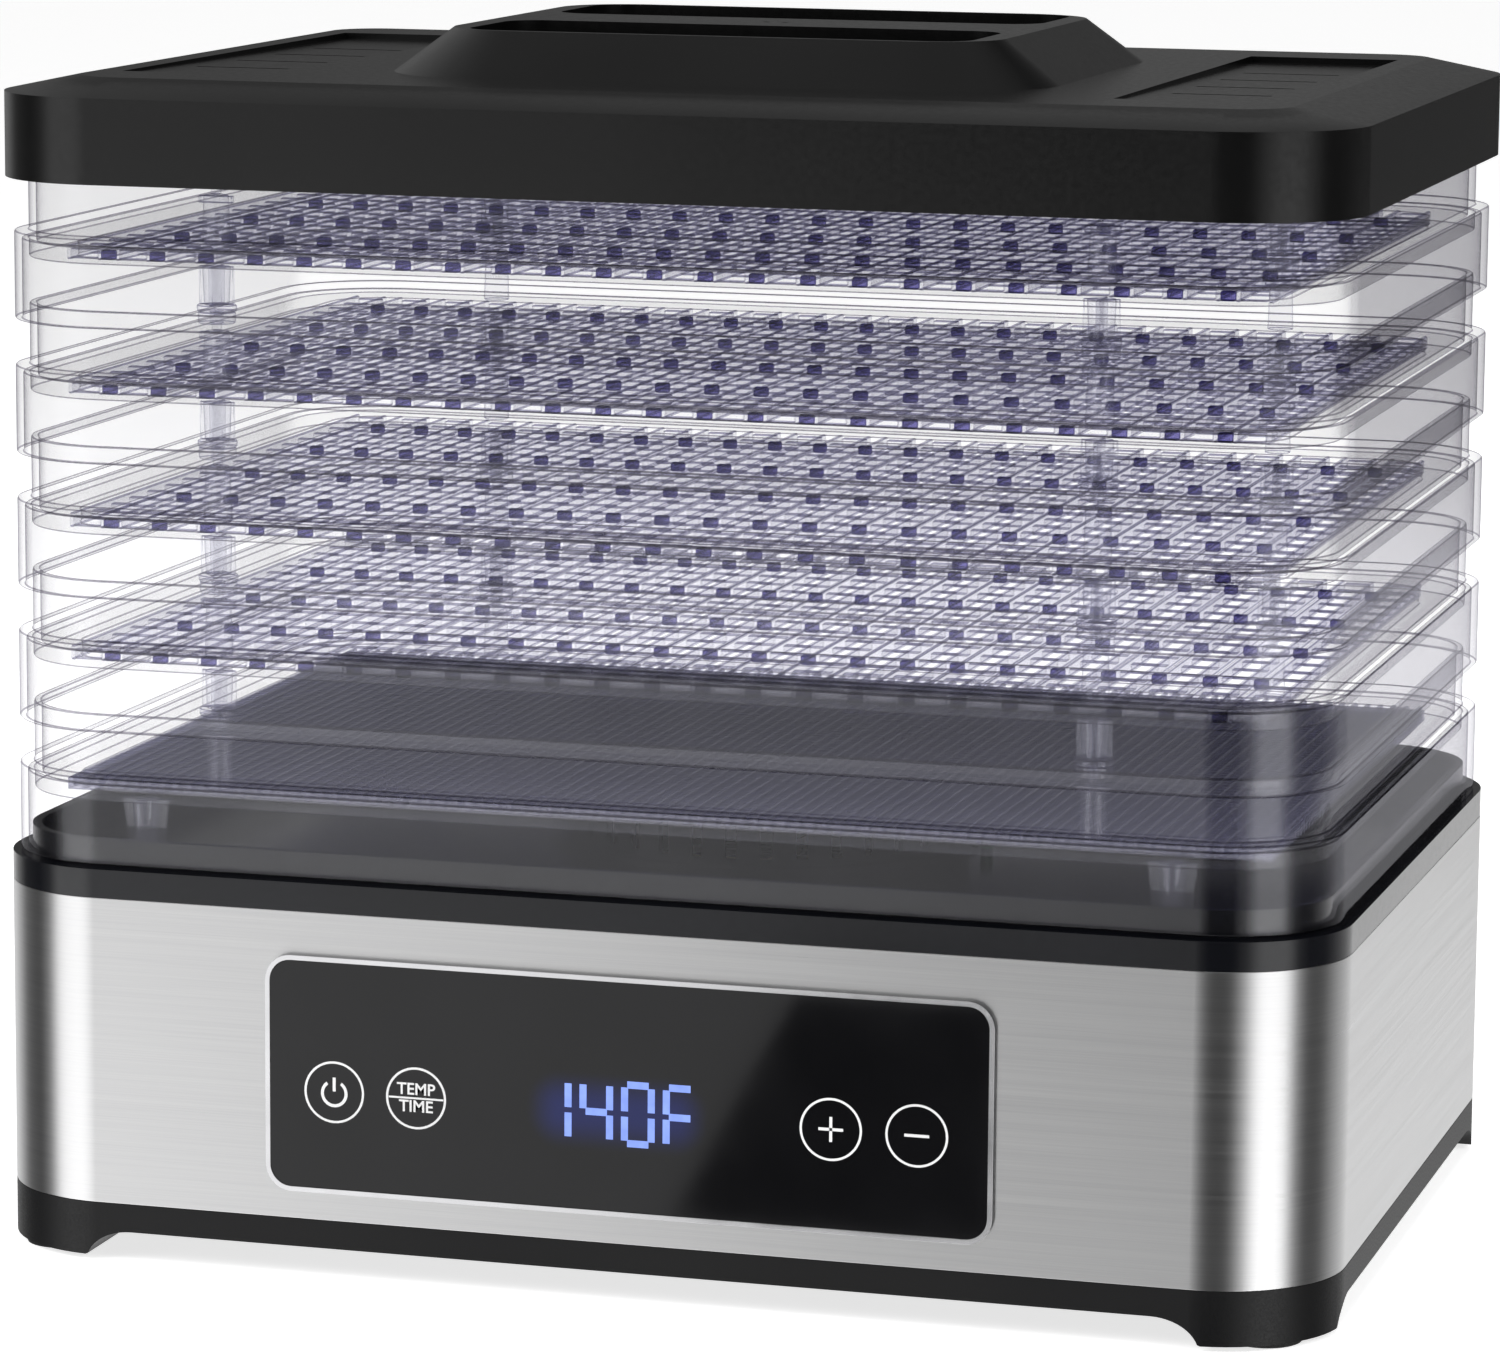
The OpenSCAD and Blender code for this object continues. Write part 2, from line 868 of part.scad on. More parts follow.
function tray_z(i) = z_tray + (i - 1) * tray_pitch;

// ---- lid ----

module grip_form(inset, z0) {
    hull() {
        translate([0, 0, z0])
            linear_extrude(0.02)
                rounded_rect(grip_base_w - 2 * inset, grip_base_d - 2 * inset, grip_r);
        translate([0, 0, z_grip - inset - 0.02])
            linear_extrude(0.02)
                rounded_rect(grip_top_w - 2 * inset, grip_top_d - 2 * inset, grip_r - 6);
    }
}

module border_form(inset, z0, z1) {
    hull() {
        slab(inset, z0, z0 + 0.02);
        translate([0, 0, z1 - 0.02])
            linear_extrude(0.02)
                rounded_rect(body_w - 2 * (border_w + inset), body_d - 2 * (border_w + inset),
                             corner_r - 8);
    }
}

module at_wells() {
    for (s = [-1, 1])
        translate([0, s * (bar_d + well_d) / 2, 0])
            children();
}

module well_form(grow, z0, z1) {
    translate([0, 0, z0])
        linear_extrude(z1 - z0)
            rounded_rect(well_w + 2 * grow, well_d + 2 * grow, well_r + grow);
}

// Shell with its sloped border, open under the grip
module lid() {
    color("#1b1b1c")
    difference() {
        union() {
            slab(0, z_lid, z_border);
            border_form(0, z_border, z_plateau);
        }
        slab(wall_t, z_ledge + 2, z_border - 0.6);
        border_form(wall_t, z_border - 0.7, z_plateau - wall_t);
        translate([0, 0, z_plateau - wall_t - 0.5])
            linear_extrude(wall_t + 1)
                rounded_rect(grip_base_w - 2 * wall_t, grip_base_d - 2 * wall_t, grip_r - wall_t);
        slab(wall_inset - 0.6, z_lid - 1, z_ledge);
        slab(bore_inset + 3, z_ledge - 1, z_ledge + 3);
        for (s = [-1, 1])
            translate([s * vent_x, 0, 0]) {
                translate([-vent_w / 2, -vent_d / 2, z_plateau - vent_sink])
                    cube([vent_w, vent_d, vent_sink + 1]);
                for (i = [0 : slit_count - 1])
                    translate([-slit_len / 2,
                               (i - (slit_count - 1) / 2) * slit_pitch + slit_shift - slit_w / 2,
                               z_plateau - 6])
                        cube([slit_len, slit_w, 8]);
            }
    }
}

// Raised grip with two finger wells and the bar between them
module lid_grip() {
    color("#1b1b1c")
    difference() {
        union() {
            grip_form(0, z_plateau);
            at_wells()
                well_form(wall_t, z_grip - well_depth - wall_t, z_plateau + 1);
        }
        difference() {
            grip_form(wall_t, z_plateau - 0.5);
            at_wells()
                well_form(wall_t, z_grip - well_depth - wall_t, z_grip);
        }
        at_wells()
            well_form(0, z_grip - well_depth, z_grip + 1);
    }
}

bottom_housing();
foot_pads();
steel_wrap();
top_deck();
diffuser_drum();
drum_cap();
air_duct();
duct_screws();
heater_frame();
heater_coil();
thermal_cutoff();
temperature_sensor();
motor_bracket();
bracket_screws();
motor_stator();
motor_winding();
bearing_bridge();
motor_rotor();
motor_shaft();
fan_impeller();
impeller_clip();
panel_bezel();
panel_lens();
display_module();
control_board();
touch_springs();
board_screws();
power_board();
board_parts();
power_board_screws();
terminal_block();
wiring();
cord_gland();
housing_screws();
lid();
lid_grip();
tray_frame(tray_z(1));  // tray_1
tray_posts(tray_z(1), true);  // tray_1_posts
tray_mesh(tray_z(1));  // tray_1_mesh
tray_frame(tray_z(2));  // tray_2
tray_posts(tray_z(2), false);  // tray_2_posts
tray_mesh(tray_z(2));  // tray_2_mesh
tray_frame(tray_z(3));  // tray_3
tray_posts(tray_z(3), false);  // tray_3_posts
tray_mesh(tray_z(3));  // tray_3_mesh
tray_frame(tray_z(4));  // tray_4
tray_posts(tray_z(4), false);  // tray_4_posts
tray_mesh(tray_z(4));  // tray_4_mesh
tray_frame(tray_z(5));  // tray_5
tray_posts(tray_z(5), false);  // tray_5_posts
tray_mesh(tray_z(5));  // tray_5_mesh
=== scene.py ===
"""Countertop food dehydrator: clear stacking trays between a steel-wrapped heated base and a black lid."""
import json
import math

import bmesh
import bpy
from bpy.props import FloatProperty, FloatVectorProperty, IntProperty, PointerProperty
from mathutils import Matrix, Vector


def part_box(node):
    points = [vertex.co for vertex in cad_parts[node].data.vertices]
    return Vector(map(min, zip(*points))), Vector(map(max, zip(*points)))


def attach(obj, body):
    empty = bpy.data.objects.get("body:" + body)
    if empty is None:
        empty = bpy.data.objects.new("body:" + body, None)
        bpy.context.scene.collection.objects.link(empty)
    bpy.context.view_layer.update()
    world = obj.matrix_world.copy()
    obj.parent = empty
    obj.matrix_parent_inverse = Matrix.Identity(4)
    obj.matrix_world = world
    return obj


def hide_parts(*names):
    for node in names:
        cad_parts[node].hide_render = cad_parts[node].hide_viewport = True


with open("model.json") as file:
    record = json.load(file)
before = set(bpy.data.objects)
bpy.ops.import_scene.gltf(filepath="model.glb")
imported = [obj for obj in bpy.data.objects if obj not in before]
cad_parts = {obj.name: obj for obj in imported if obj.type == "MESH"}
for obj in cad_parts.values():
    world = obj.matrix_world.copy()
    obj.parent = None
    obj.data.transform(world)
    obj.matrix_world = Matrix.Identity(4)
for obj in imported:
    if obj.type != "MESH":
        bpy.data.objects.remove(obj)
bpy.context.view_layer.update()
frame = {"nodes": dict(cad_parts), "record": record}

bl_info = {
    "name": "Food dehydrator",
    "version": (1, 0, 0),
    "blender": (4, 5, 0),
    "location": "View3D > Sidebar > Dehydrator",
    "description": "Builds the outside of a food dehydrator round its CAD frame",
    "category": "Object",
}

MM = 0.001
NEAR = 0.01 * MM


def span(*names):
    """Lowest and highest corner of some CAD nodes together, at rest."""
    boxes = [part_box(name) for name in names]
    low = Vector([min(b[0][i] for b in boxes) for i in range(3)])
    high = Vector([max(b[1][i] for b in boxes) for i in range(3)])
    return low, high


HOUSING_LOW, HOUSING_HIGH = span("bottom_housing", "foot_pads")
WRAP_LOW, WRAP_HIGH = span("steel_wrap")
LID_LOW, LID_HIGH = span("lid", "lid_grip")
LENS_LOW, LENS_HIGH = span("panel_lens")
DISPLAY_LOW, DISPLAY_HIGH = span("display_module")
SPRINGS_LOW, SPRINGS_HIGH = span("touch_springs")
HALF_W = HOUSING_HIGH.x
HALF_D = HOUSING_HIGH.y
FRONT = LENS_LOW.y
TRAYS = [f"tray_{i}" for i in range(1, 6)]


# ---------------------------------------------------------------- settings


class DehydratorSizes(bpy.types.PropertyGroup):
    """Sizes that a user may change without touching the CAD frame."""

    corner: FloatProperty(
        name="Corner radius", description="Upright corners of the base and lid", default=31 * MM,
        unit="LENGTH"
    )
    skirt_inset: FloatProperty(
        name="Skirt inset", description="Tray skirt, in from the base", default=2 * MM, unit="LENGTH"
    )
    wall_inset: FloatProperty(
        name="Wall inset", description="Upper tray wall, in from the base", default=5.5 * MM, unit="LENGTH"
    )
    wall: FloatProperty(
        name="Tray wall", description="Thickness of the clear walls", default=1.8 * MM, unit="LENGTH"
    )
    wall_rise: FloatProperty(
        name="Wall rise", description="Upper wall above the shoulder", default=15 * MM, unit="LENGTH"
    )
    skirt_drop: FloatProperty(
        name="Skirt drop", description="Skirt below the shoulder", default=21.5 * MM, unit="LENGTH"
    )
    floor_drop: FloatProperty(
        name="Floor drop", description="Mesh floor below the shoulder", default=3 * MM, unit="LENGTH"
    )
    mesh_depth: FloatProperty(
        name="Mesh depth", description="Thickness of the mesh floor", default=3.5 * MM, unit="LENGTH"
    )
    floor_border: FloatProperty(
        name="Floor border", description="Plain border round the mesh", default=10 * MM, unit="LENGTH"
    )
    weave_pitch: FloatProperty(
        name="Weave pitch", description="From one ladder of the mesh to the next", default=12.4 * MM,
        unit="LENGTH"
    )
    fine_pitch: FloatProperty(
        name="Fine mesh pitch", description="From one rib of the lowest tray's mesh to the next",
        default=3.4 * MM, unit="LENGTH"
    )
    lid_slope: FloatProperty(
        name="Lid border", description="Width of the lid's sloped border", default=18 * MM, unit="LENGTH"
    )
    ring_radius: FloatProperty(
        name="Touch ring", description="Radius of the ring round each touch symbol", default=7.3 * MM,
        unit="LENGTH"
    )
    ink: FloatProperty(
        name="Ink line", description="Width of the printed lines", default=0.55 * MM, unit="LENGTH"
    )


class DehydratorColours(bpy.types.PropertyGroup):
    """Colours in linear light."""

    glow: FloatVectorProperty(
        name="Display", description="Lit digits", subtype="COLOR", size=3, default=(0.28, 0.4, 1.0)
    )
    lens_bright: FloatProperty(name="Display strength", description="How bright the digits are", default=1.15)
    corner_steps: IntProperty(name="Corner steps", description="Facets round each upright corner", default=20)


def sizes():
    return bpy.context.scene.dehydrator_sizes


def colours():
    return bpy.context.scene.dehydrator_colours


# ---------------------------------------------------------------- modelling helpers


def start_piece(name):
    """An empty mesh at the origin, open in edit mode."""
    if bpy.context.object and bpy.context.object.mode != "OBJECT":
        bpy.ops.object.mode_set(mode="OBJECT")
    bpy.ops.object.select_all(action="DESELECT")
    piece = bpy.data.objects.new(name, bpy.data.meshes.new(name))
    bpy.context.scene.collection.objects.link(piece)
    bpy.context.view_layer.objects.active = piece
    piece.select_set(True)
    bpy.ops.object.mode_set(mode="EDIT")
    bpy.ops.mesh.select_mode(type="FACE")
    return piece


def pick_verts(test):
    shape = bmesh.from_edit_mesh(bpy.context.object.data)
    bpy.ops.mesh.select_mode(type="VERT")
    bpy.ops.mesh.select_all(action="DESELECT")
    for vert in shape.verts:
        vert.select_set(test(vert.co))
    bmesh.update_edit_mesh(bpy.context.object.data)


def rounded_face(width, depth, radius, z, steps):
    """A flat face with rounded corners, left selected."""
    bpy.ops.mesh.select_mode(type="FACE")
    bpy.ops.mesh.select_all(action="DESELECT")
    bpy.ops.mesh.primitive_plane_add(size=1, location=(0, 0, z))
    bpy.ops.transform.resize(value=(width, depth, 1), center_override=(0, 0, z))
    bpy.ops.mesh.bevel(offset=radius, segments=steps, affect="VERTICES", clamp_overlap=False)
    bpy.ops.mesh.select_mode(type="FACE")


def grow(inward, rise):
    """Carries the selected face on: straight up or down, or in and up or down."""
    if abs(inward) < 1e-7:
        bpy.ops.mesh.extrude_region_move(TRANSFORM_OT_translate={"value": (0, 0, rise)})
    else:
        bpy.ops.mesh.inset(thickness=inward, depth=0, use_even_offset=True)
        if abs(rise) > 1e-7:
            bpy.ops.transform.translate(value=(0, 0, rise))


def inset_of(co):
    """How far in from the outside of the base a point lies."""
    r = sizes().corner
    x, y = abs(co.x) - (HALF_W - r), abs(co.y) - (HALF_D - r)
    return r - math.hypot(max(x, 0), max(y, 0)) - min(max(x, y), 0)


def outline_path(path):
    """Loops of the base's outline through (inset, height) steps, each further in than the last, left open."""
    inset, z = path[0]
    rounded_face(
        2 * (HALF_W - inset), 2 * (HALF_D - inset), sizes().corner - inset, z, colours().corner_steps
    )
    for (a, low), (b, high) in zip(path, path[1:]):
        grow(b - a, high - low)
    bpy.ops.mesh.delete(type="ONLY_FACE")
    shape = bmesh.from_edit_mesh(bpy.context.object.data)
    for face in shape.faces:
        face.select_set(len(face.verts) > 8)
    bmesh.update_edit_mesh(bpy.context.object.data)
    if any(face.select for face in shape.faces):
        bpy.ops.mesh.delete(type="ONLY_FACE")


def stitch(shape, first, second, centre):
    """Faces between two open loops of as many points each, round a shared centre."""
    rows = [
        sorted(
            row, key=lambda v: math.atan2(v.co.y - centre[1], v.co.x - centre[0])
        ) for row in (first, second)
    ]
    for i in range(len(rows[0])):
        shape.faces.new((rows[0][i - 1], rows[0][i], rows[1][i], rows[1][i - 1]))


def bridge_loops(first, second):
    """Joins two open loops of the outline, each given by (inset, height)."""
    shape = bmesh.from_edit_mesh(bpy.context.object.data)
    rows = [
        [
            v for v in shape.verts if v.is_boundary and abs(
                inset_of(v.co) - inset
            ) < 2e-5 and abs(v.co.z - z) < 2e-5
        ]
        for inset, z in (first, second)]
    stitch(shape, *rows, (0, 0))
    bmesh.update_edit_mesh(bpy.context.object.data)


def ring_shell(outer, inner):
    """A closed ring round the outline: two paths that start side by side and end side by side."""
    outline_path(outer)
    outline_path(inner)
    bridge_loops(outer[0], inner[0])
    bridge_loops(outer[-1], inner[-1])
    bpy.ops.mesh.select_all(action="SELECT")
    bpy.ops.mesh.normals_make_consistent(inside=False)


def block(low, high):
    """A box between two corners, left selected."""
    bpy.ops.mesh.select_all(action="DESELECT")
    mid = [(a + b) / 2 for a, b in zip(low, high)]
    bpy.ops.mesh.primitive_cube_add(size=1, location=mid)
    bpy.ops.transform.resize(value=[b - a for a, b in zip(low, high)], center_override=mid)


def rod(x, y, low, high, r_low, r_high=None, steps=32):
    """An upright round bar or cone, left selected."""
    bpy.ops.mesh.select_all(action="DESELECT")
    bpy.ops.mesh.primitive_cone_add(
        vertices=steps, radius1=r_low, radius2=r_low if r_high is None else r_high, depth=high - low,
        location=(x, y, (low + high) / 2))


def close_piece(piece, edge=0.0, steps=2, angle=35, smooth=True):
    """Leaves edit mode, rounds the sharp edges and evens the shading."""
    bpy.ops.mesh.select_all(action="SELECT")
    bpy.ops.mesh.normals_make_consistent(inside=False)
    bpy.ops.mesh.select_all(action="DESELECT")
    bpy.ops.object.mode_set(mode="OBJECT")
    bpy.ops.object.select_all(action="DESELECT")
    bpy.context.view_layer.objects.active = piece
    piece.select_set(True)
    round_edges(piece, edge, steps, angle, smooth)
    return piece


def round_edges(piece, edge, steps=2, angle=35, smooth=True):
    if edge > 0:
        bevel = piece.modifiers.new("edges", "BEVEL")
        bevel.width = edge
        bevel.segments = steps
        bevel.limit_method = "ANGLE"
        bevel.angle_limit = math.radians(angle)
        bevel.miter_outer = "MITER_ARC"
        bpy.ops.object.modifier_apply(modifier=bevel.name)
    if smooth:
        bpy.ops.object.shade_smooth_by_angle(angle=math.radians(40))
        even = piece.modifiers.new("shading", "WEIGHTED_NORMAL")
        even.keep_sharp = True
        bpy.ops.object.modifier_apply(modifier=even.name)


def cut_with(piece, cutter, how="DIFFERENCE"):
    """Cuts or joins a helper shape, which is then removed."""
    bpy.ops.object.select_all(action="DESELECT")
    bpy.context.view_layer.objects.active = piece
    piece.select_set(True)
    tool = piece.modifiers.new("cut", "BOOLEAN")
    tool.operation = how
    tool.solver = "EXACT"
    tool.object = cutter
    bpy.ops.object.modifier_apply(modifier=tool.name)
    bpy.data.objects.remove(cutter, do_unlink=True)


def dress(piece, finish, body, slot, *nodes):
    """Gives a finished piece its material, its body and its place in the frame."""
    piece.data.materials.clear()
    for each in finish if isinstance(finish, (list, tuple)) else [finish]:
        piece.data.materials.append(each)
    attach(piece, body)
    if nodes:
        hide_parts(*nodes)


def soften_node(name, edge, steps=2, angle=30):
    """Rounds a CAD node's edges with live modifiers; its own mesh stays as it is."""
    piece = frame["nodes"][name]
    weld = piece.modifiers.new("weld", "WELD")
    weld.merge_threshold = 0.004 * MM
    flat = piece.modifiers.new("flats", "DECIMATE")
    flat.decimate_type = "DISSOLVE"
    flat.angle_limit = math.radians(0.6)
    if edge > 0:
        bevel = piece.modifiers.new("edges", "BEVEL")
        bevel.width = edge
        bevel.segments = steps
        bevel.limit_method = "ANGLE"
        bevel.angle_limit = math.radians(angle)
    for face in piece.data.polygons:
        face.use_smooth = True
    even = piece.modifiers.new("shading", "WEIGHTED_NORMAL")
    even.keep_sharp = True
    return piece


# ---------------------------------------------------------------- finishes


def linear(code):
    """sRGB hex to linear light."""
    channels = [int(code[i : i + 2], 16) / 255 for i in (1, 3, 5)]
    return tuple(c / 12.92 if c <= 0.04045 else ((c + 0.055) / 1.055) ** 2.4 for c in channels) + (1.0,)


def add_node(tree, kind, settings=None, **inputs):
    """Adds a shader node with its settings; an input is a value or another node's output."""
    made = tree.nodes.new(kind)
    for key, value in (settings or {}).items():
        setattr(made, key, value)
    for key, value in inputs.items():
        socket = made.inputs[int(key[1:])] if key[0] == "i" and key[1:].isdigit() else made.inputs[
            key.replace("_", " ")
        ]
        if isinstance(value, bpy.types.NodeSocket):
            tree.links.new(value, socket)
        else:
            socket.default_value = value
    return made


def new_finish(name):
    """A material with only its output node."""
    finish = bpy.data.materials.new(name)
    finish.use_nodes = True
    finish.node_tree.nodes.clear()
    out = finish.node_tree.nodes.new("ShaderNodeOutputMaterial")
    return finish, finish.node_tree, out


def place_pattern(tree, per_mm):
    """Object coordinates scaled so that a pattern repeats about every so many millimetres each way."""
    where = add_node(tree, "ShaderNodeTexCoord")
    return add_node(
        tree, "ShaderNodeMapping", Vector=where.outputs["Object"], Scale=[1000 / max(v, 1e-3) for v in per_mm]
    )


def graded(tree, factor, low, high, code_low, code_high):
    """Two shades of one colour, split by a pattern."""
    ramp = add_node(tree, "ShaderNodeValToRGB", Fac=factor)
    ramp.color_ramp.elements[0].position = low
    ramp.color_ramp.elements[0].color = linear(code_low)
    ramp.color_ramp.elements[1].position = high
    ramp.color_ramp.elements[1].color = linear(code_high)
    return ramp.outputs["Color"]


def ranged(tree, factor, low, high):
    """A pattern stretched to run from low to high."""
    return add_node(
        tree, "ShaderNodeMapRange", Value=factor, From_Min=0.3, From_Max=0.7, To_Min=low, To_Max=high
    ).outputs["Result"]


def moulded(name, dark, light, rough, grain_mm, depth, ior=1.53, metallic=0.0, coat=0.0):
    """Moulded or cast surface: a slow shade change, a fine mould grain and uneven gloss."""
    finish, tree, out = new_finish(name)
    fine = add_node(
        tree, "ShaderNodeTexNoise", Vector=place_pattern(tree, [grain_mm] * 3).outputs[0], Scale=1.0,
        Detail=2.0
    )
    slow = add_node(
        tree, "ShaderNodeTexNoise", Vector=place_pattern(tree, [60] * 3).outputs[0], Scale=1.0, Detail=2.0
    )
    bump = add_node(tree, "ShaderNodeBump", Height=fine.outputs["Fac"], Strength=depth, Distance=0.05 * MM)
    shader = add_node(
        tree, "ShaderNodeBsdfPrincipled", Base_Color=graded(
            tree, slow.outputs["Fac"], 0.35, 0.65, dark, light
        ),
        Roughness=ranged(
            tree, fine.outputs["Fac"], rough * 0.85, rough * 1.15
        ), Normal=bump.outputs["Normal"],
        Metallic=metallic, Coat_Weight=coat)
    if not metallic:
        shader.inputs["IOR"].default_value = ior
    tree.links.new(shader.outputs[0], out.inputs["Surface"])
    return finish


def brushed_stainless():
    """Stainless sheet brushed along the band: fine level scratches that stretch each highlight upright."""
    finish, tree, out = new_finish("brushed_stainless")
    # Scratches 60 mm long; their real pitch of 0.05 mm is drawn at about 0.3 mm so that it shows
    fine = add_node(
        tree, "ShaderNodeTexNoise", Vector=place_pattern(tree, [60, 60, 0.3]).outputs[0], Scale=1.0,
        Detail=4.0, Roughness=0.65
    )
    long = add_node(
        tree, "ShaderNodeTexNoise", Vector=place_pattern(tree, [160, 160, 1.3]).outputs[0], Scale=1.0,
        Detail=2.0
    )
    both = add_node(
        tree, "ShaderNodeMix", {"data_type": "FLOAT"}, i0=0.4, i2=fine.outputs["Fac"], i3=long.outputs["Fac"]
    )
    bump = add_node(tree, "ShaderNodeBump", Height=both.outputs[0], Strength=0.25, Distance=0.05 * MM)
    along = add_node(tree, "ShaderNodeTangent", {"direction_type": "RADIAL", "axis": "Z"})
    shader = add_node(
        tree, "ShaderNodeBsdfPrincipled", Base_Color=graded(
            tree, both.outputs[0], 0.3, 0.7, "#d4d4d5", "#e4e4e4"
        ),
        Roughness=ranged(tree, both.outputs[0], 0.27, 0.36), Normal=bump.outputs["Normal"], Metallic=1.0,
        Anisotropic=0.8,
        Anisotropic_Rotation=0.25, Tangent=along.outputs[0])
    tree.links.new(shader.outputs[0], out.inputs["Surface"])
    return finish


def polished_chrome():
    """Chromed bezel: near-mirror with a faint uneven polish."""
    finish, tree, out = new_finish("polished_chrome")
    slow = add_node(
        tree, "ShaderNodeTexNoise", Vector=place_pattern(tree, [12] * 3).outputs[0], Scale=1.0, Detail=2.0
    )
    shader = add_node(
        tree, "ShaderNodeBsdfPrincipled", Base_Color=graded(
            tree, slow.outputs["Fac"], 0.3, 0.7, "#d2d2d4", "#e2e2e4"
        ),
        Roughness=ranged(tree, slow.outputs["Fac"], 0.10, 0.16), Metallic=1.0)
    tree.links.new(shader.outputs[0], out.inputs["Surface"])
    return finish


def black_acrylic():
    """Back-printed black acrylic lens: a hard gloss over a deep black with a trace of cloud."""
    finish, tree, out = new_finish("black_acrylic")
    slow = add_node(
        tree, "ShaderNodeTexNoise", Vector=place_pattern(tree, [25] * 3).outputs[0], Scale=1.0, Detail=2.0
    )
    # Light of the digits spreads a little way inside the lens
    where = add_node(tree, "ShaderNodeTexCoord")
    middle, half = (DISPLAY_LOW + DISPLAY_HIGH) / 2, (DISPLAY_HIGH - DISPLAY_LOW) / 2
    from_middle = add_node(
        tree, "ShaderNodeVectorMath", {"operation": "SUBTRACT"}, i0=where.outputs["Object"],
        i1=(middle.x, FRONT, middle.z)
    )
    both_ways = add_node(tree, "ShaderNodeVectorMath", {"operation": "ABSOLUTE"}, i0=from_middle.outputs[0])
    past = add_node(
        tree, "ShaderNodeVectorMath", {"operation": "SUBTRACT"}, i0=both_ways.outputs[0],
        i1=(half.x - 7 * MM, 1.0, half.z - 8 * MM)
    )
    outside = add_node(
        tree, "ShaderNodeVectorMath", {"operation": "MAXIMUM"}, i0=past.outputs[0], i1=(0, 0, 0)
    )
    away = add_node(tree, "ShaderNodeVectorMath", {"operation": "LENGTH"}, i0=outside.outputs[0])
    spread = add_node(
        tree, "ShaderNodeMapRange", {"interpolation_type": "SMOOTHSTEP"}, Value=away.outputs["Value"],
        From_Min=0.0, From_Max=9 * MM,
        To_Min=0.085, To_Max=0.0)
    shader = add_node(
        tree, "ShaderNodeBsdfPrincipled", Base_Color=graded(
            tree, slow.outputs["Fac"], 0.3, 0.7, "#0a0a0c", "#0e0e10"
        ),
        Roughness=ranged(tree, slow.outputs["Fac"], 0.04, 0.06), IOR=1.44, Emission_Color=(0.04, 0.1, 1.0, 1),
        Emission_Strength=spread.outputs["Result"])
    tree.links.new(shader.outputs[0], out.inputs["Surface"])
    return finish


def clear_styrene(name, tint, edge, line, side, gloss_share, haze=0.0):
    """Clear moulded styrene: rounded edges get a painted shade in the edge colour, standing in for the dark
    lines that refraction draws there; upright walls seen edge-on take the same colour, partly the real tint
    over the longer path and partly painted shade.
    """
    finish, tree, out = new_finish(name)
    slow = add_node(
        tree, "ShaderNodeTexNoise", Vector=place_pattern(tree, [18] * 3).outputs[0], Scale=1.0, Detail=2.0
    )
    where = add_node(tree, "ShaderNodeNewGeometry")
    upright = add_node(tree, "ShaderNodeSeparateXYZ", Vector=where.outputs["Normal"])
    slope = add_node(tree, "ShaderNodeMath", {"operation": "ABSOLUTE"}, i0=upright.outputs["Z"])
    # Painted shade: bevels between upright and level get the edge colour, in place of the dark lines
    # refraction draws along rounded clear edges
    rise = add_node(
        tree, "ShaderNodeMapRange", {"interpolation_type": "SMOOTHSTEP"}, Value=slope.outputs[0],
        From_Min=0.1, From_Max=0.4,
        To_Min=0.0, To_Max=line)
    fall = add_node(
        tree, "ShaderNodeMapRange", {"interpolation_type": "SMOOTHSTEP"}, Value=slope.outputs[0],
        From_Min=0.8, From_Max=0.99,
        To_Min=1.0, To_Max=0.0)
    painted_edge_shade = add_node(
        tree, "ShaderNodeMath", {"operation": "MULTIPLY"}, i0=rise.outputs["Result"],
        i1=fall.outputs["Result"]
    )
    # Upright walls seen edge-on take the edge colour too: partly the real tint over the longer path, partly
    # painted shade
    facing = add_node(tree, "ShaderNodeLayerWeight", Blend=0.5)
    bend = add_node(tree, "ShaderNodeMath", {"operation": "POWER"}, i0=facing.outputs["Facing"], i1=5.0)
    wall = add_node(
        tree, "ShaderNodeMapRange", Value=slope.outputs[0], From_Min=0.3, From_Max=0.9, To_Min=side,
        To_Max=side * 0.12)
    edge_on_tint_and_shade = add_node(
        tree, "ShaderNodeMath", {"operation": "MULTIPLY"}, i0=bend.outputs[0], i1=wall.outputs["Result"]
    )
    tint_and_painted_shade = add_node(
        tree, "ShaderNodeMath", {"operation": "MAXIMUM"}, i0=painted_edge_shade.outputs[0], i1=edge_on_tint_and_shade.outputs[0]
    )
    shade = add_node(
        tree, "ShaderNodeMix", {"data_type": "RGBA"}, i0=tint_and_painted_shade.outputs[0], i6=linear(tint), i7=linear(edge)
    )
    through = add_node(tree, "ShaderNodeBsdfTransparent", Color=shade.outputs[2])
    gloss = add_node(
        tree, "ShaderNodeBsdfGlossy", Color=(0.92, 0.92, 0.97, 1),
        Roughness=ranged(tree, slow.outputs["Fac"], 0.04, 0.09))
    mirror = add_node(
        tree, "ShaderNodeMapRange", Value=bend.outputs[0], From_Min=0.0, From_Max=1.0, To_Min=gloss_share,
        To_Max=gloss_share * 8)
    whole = add_node(
        tree, "ShaderNodeMixShader", Fac=mirror.outputs["Result"], i1=through.outputs[0], i2=gloss.outputs[0]
    )
    cloudy = add_node(tree, "ShaderNodeBsdfDiffuse", Color=linear("#c9c9da"))
    blended = add_node(tree, "ShaderNodeMixShader", Fac=haze, i1=whole.outputs[0], i2=cloudy.outputs[0])
    tree.links.new(blended.outputs[0], out.inputs["Surface"])
    return finish


def lit(name, colour, strength):
    """Surface that glows by itself, its strength changing a little from place to place."""
    finish, tree, out = new_finish(name)
    slow = add_node(tree, "ShaderNodeTexNoise", Vector=place_pattern(tree, [3] * 3).outputs[0], Scale=1.0)
    shader = add_node(
        tree, "ShaderNodeEmission", Color=tuple(colour) + (1.0,),
        Strength=ranged(tree, slow.outputs["Fac"], strength * 0.9, strength * 1.1)
    )
    tree.links.new(shader.outputs[0], out.inputs["Surface"])
    return finish


FINISHES = {}


def finish_of(name):
    return FINISHES[name]


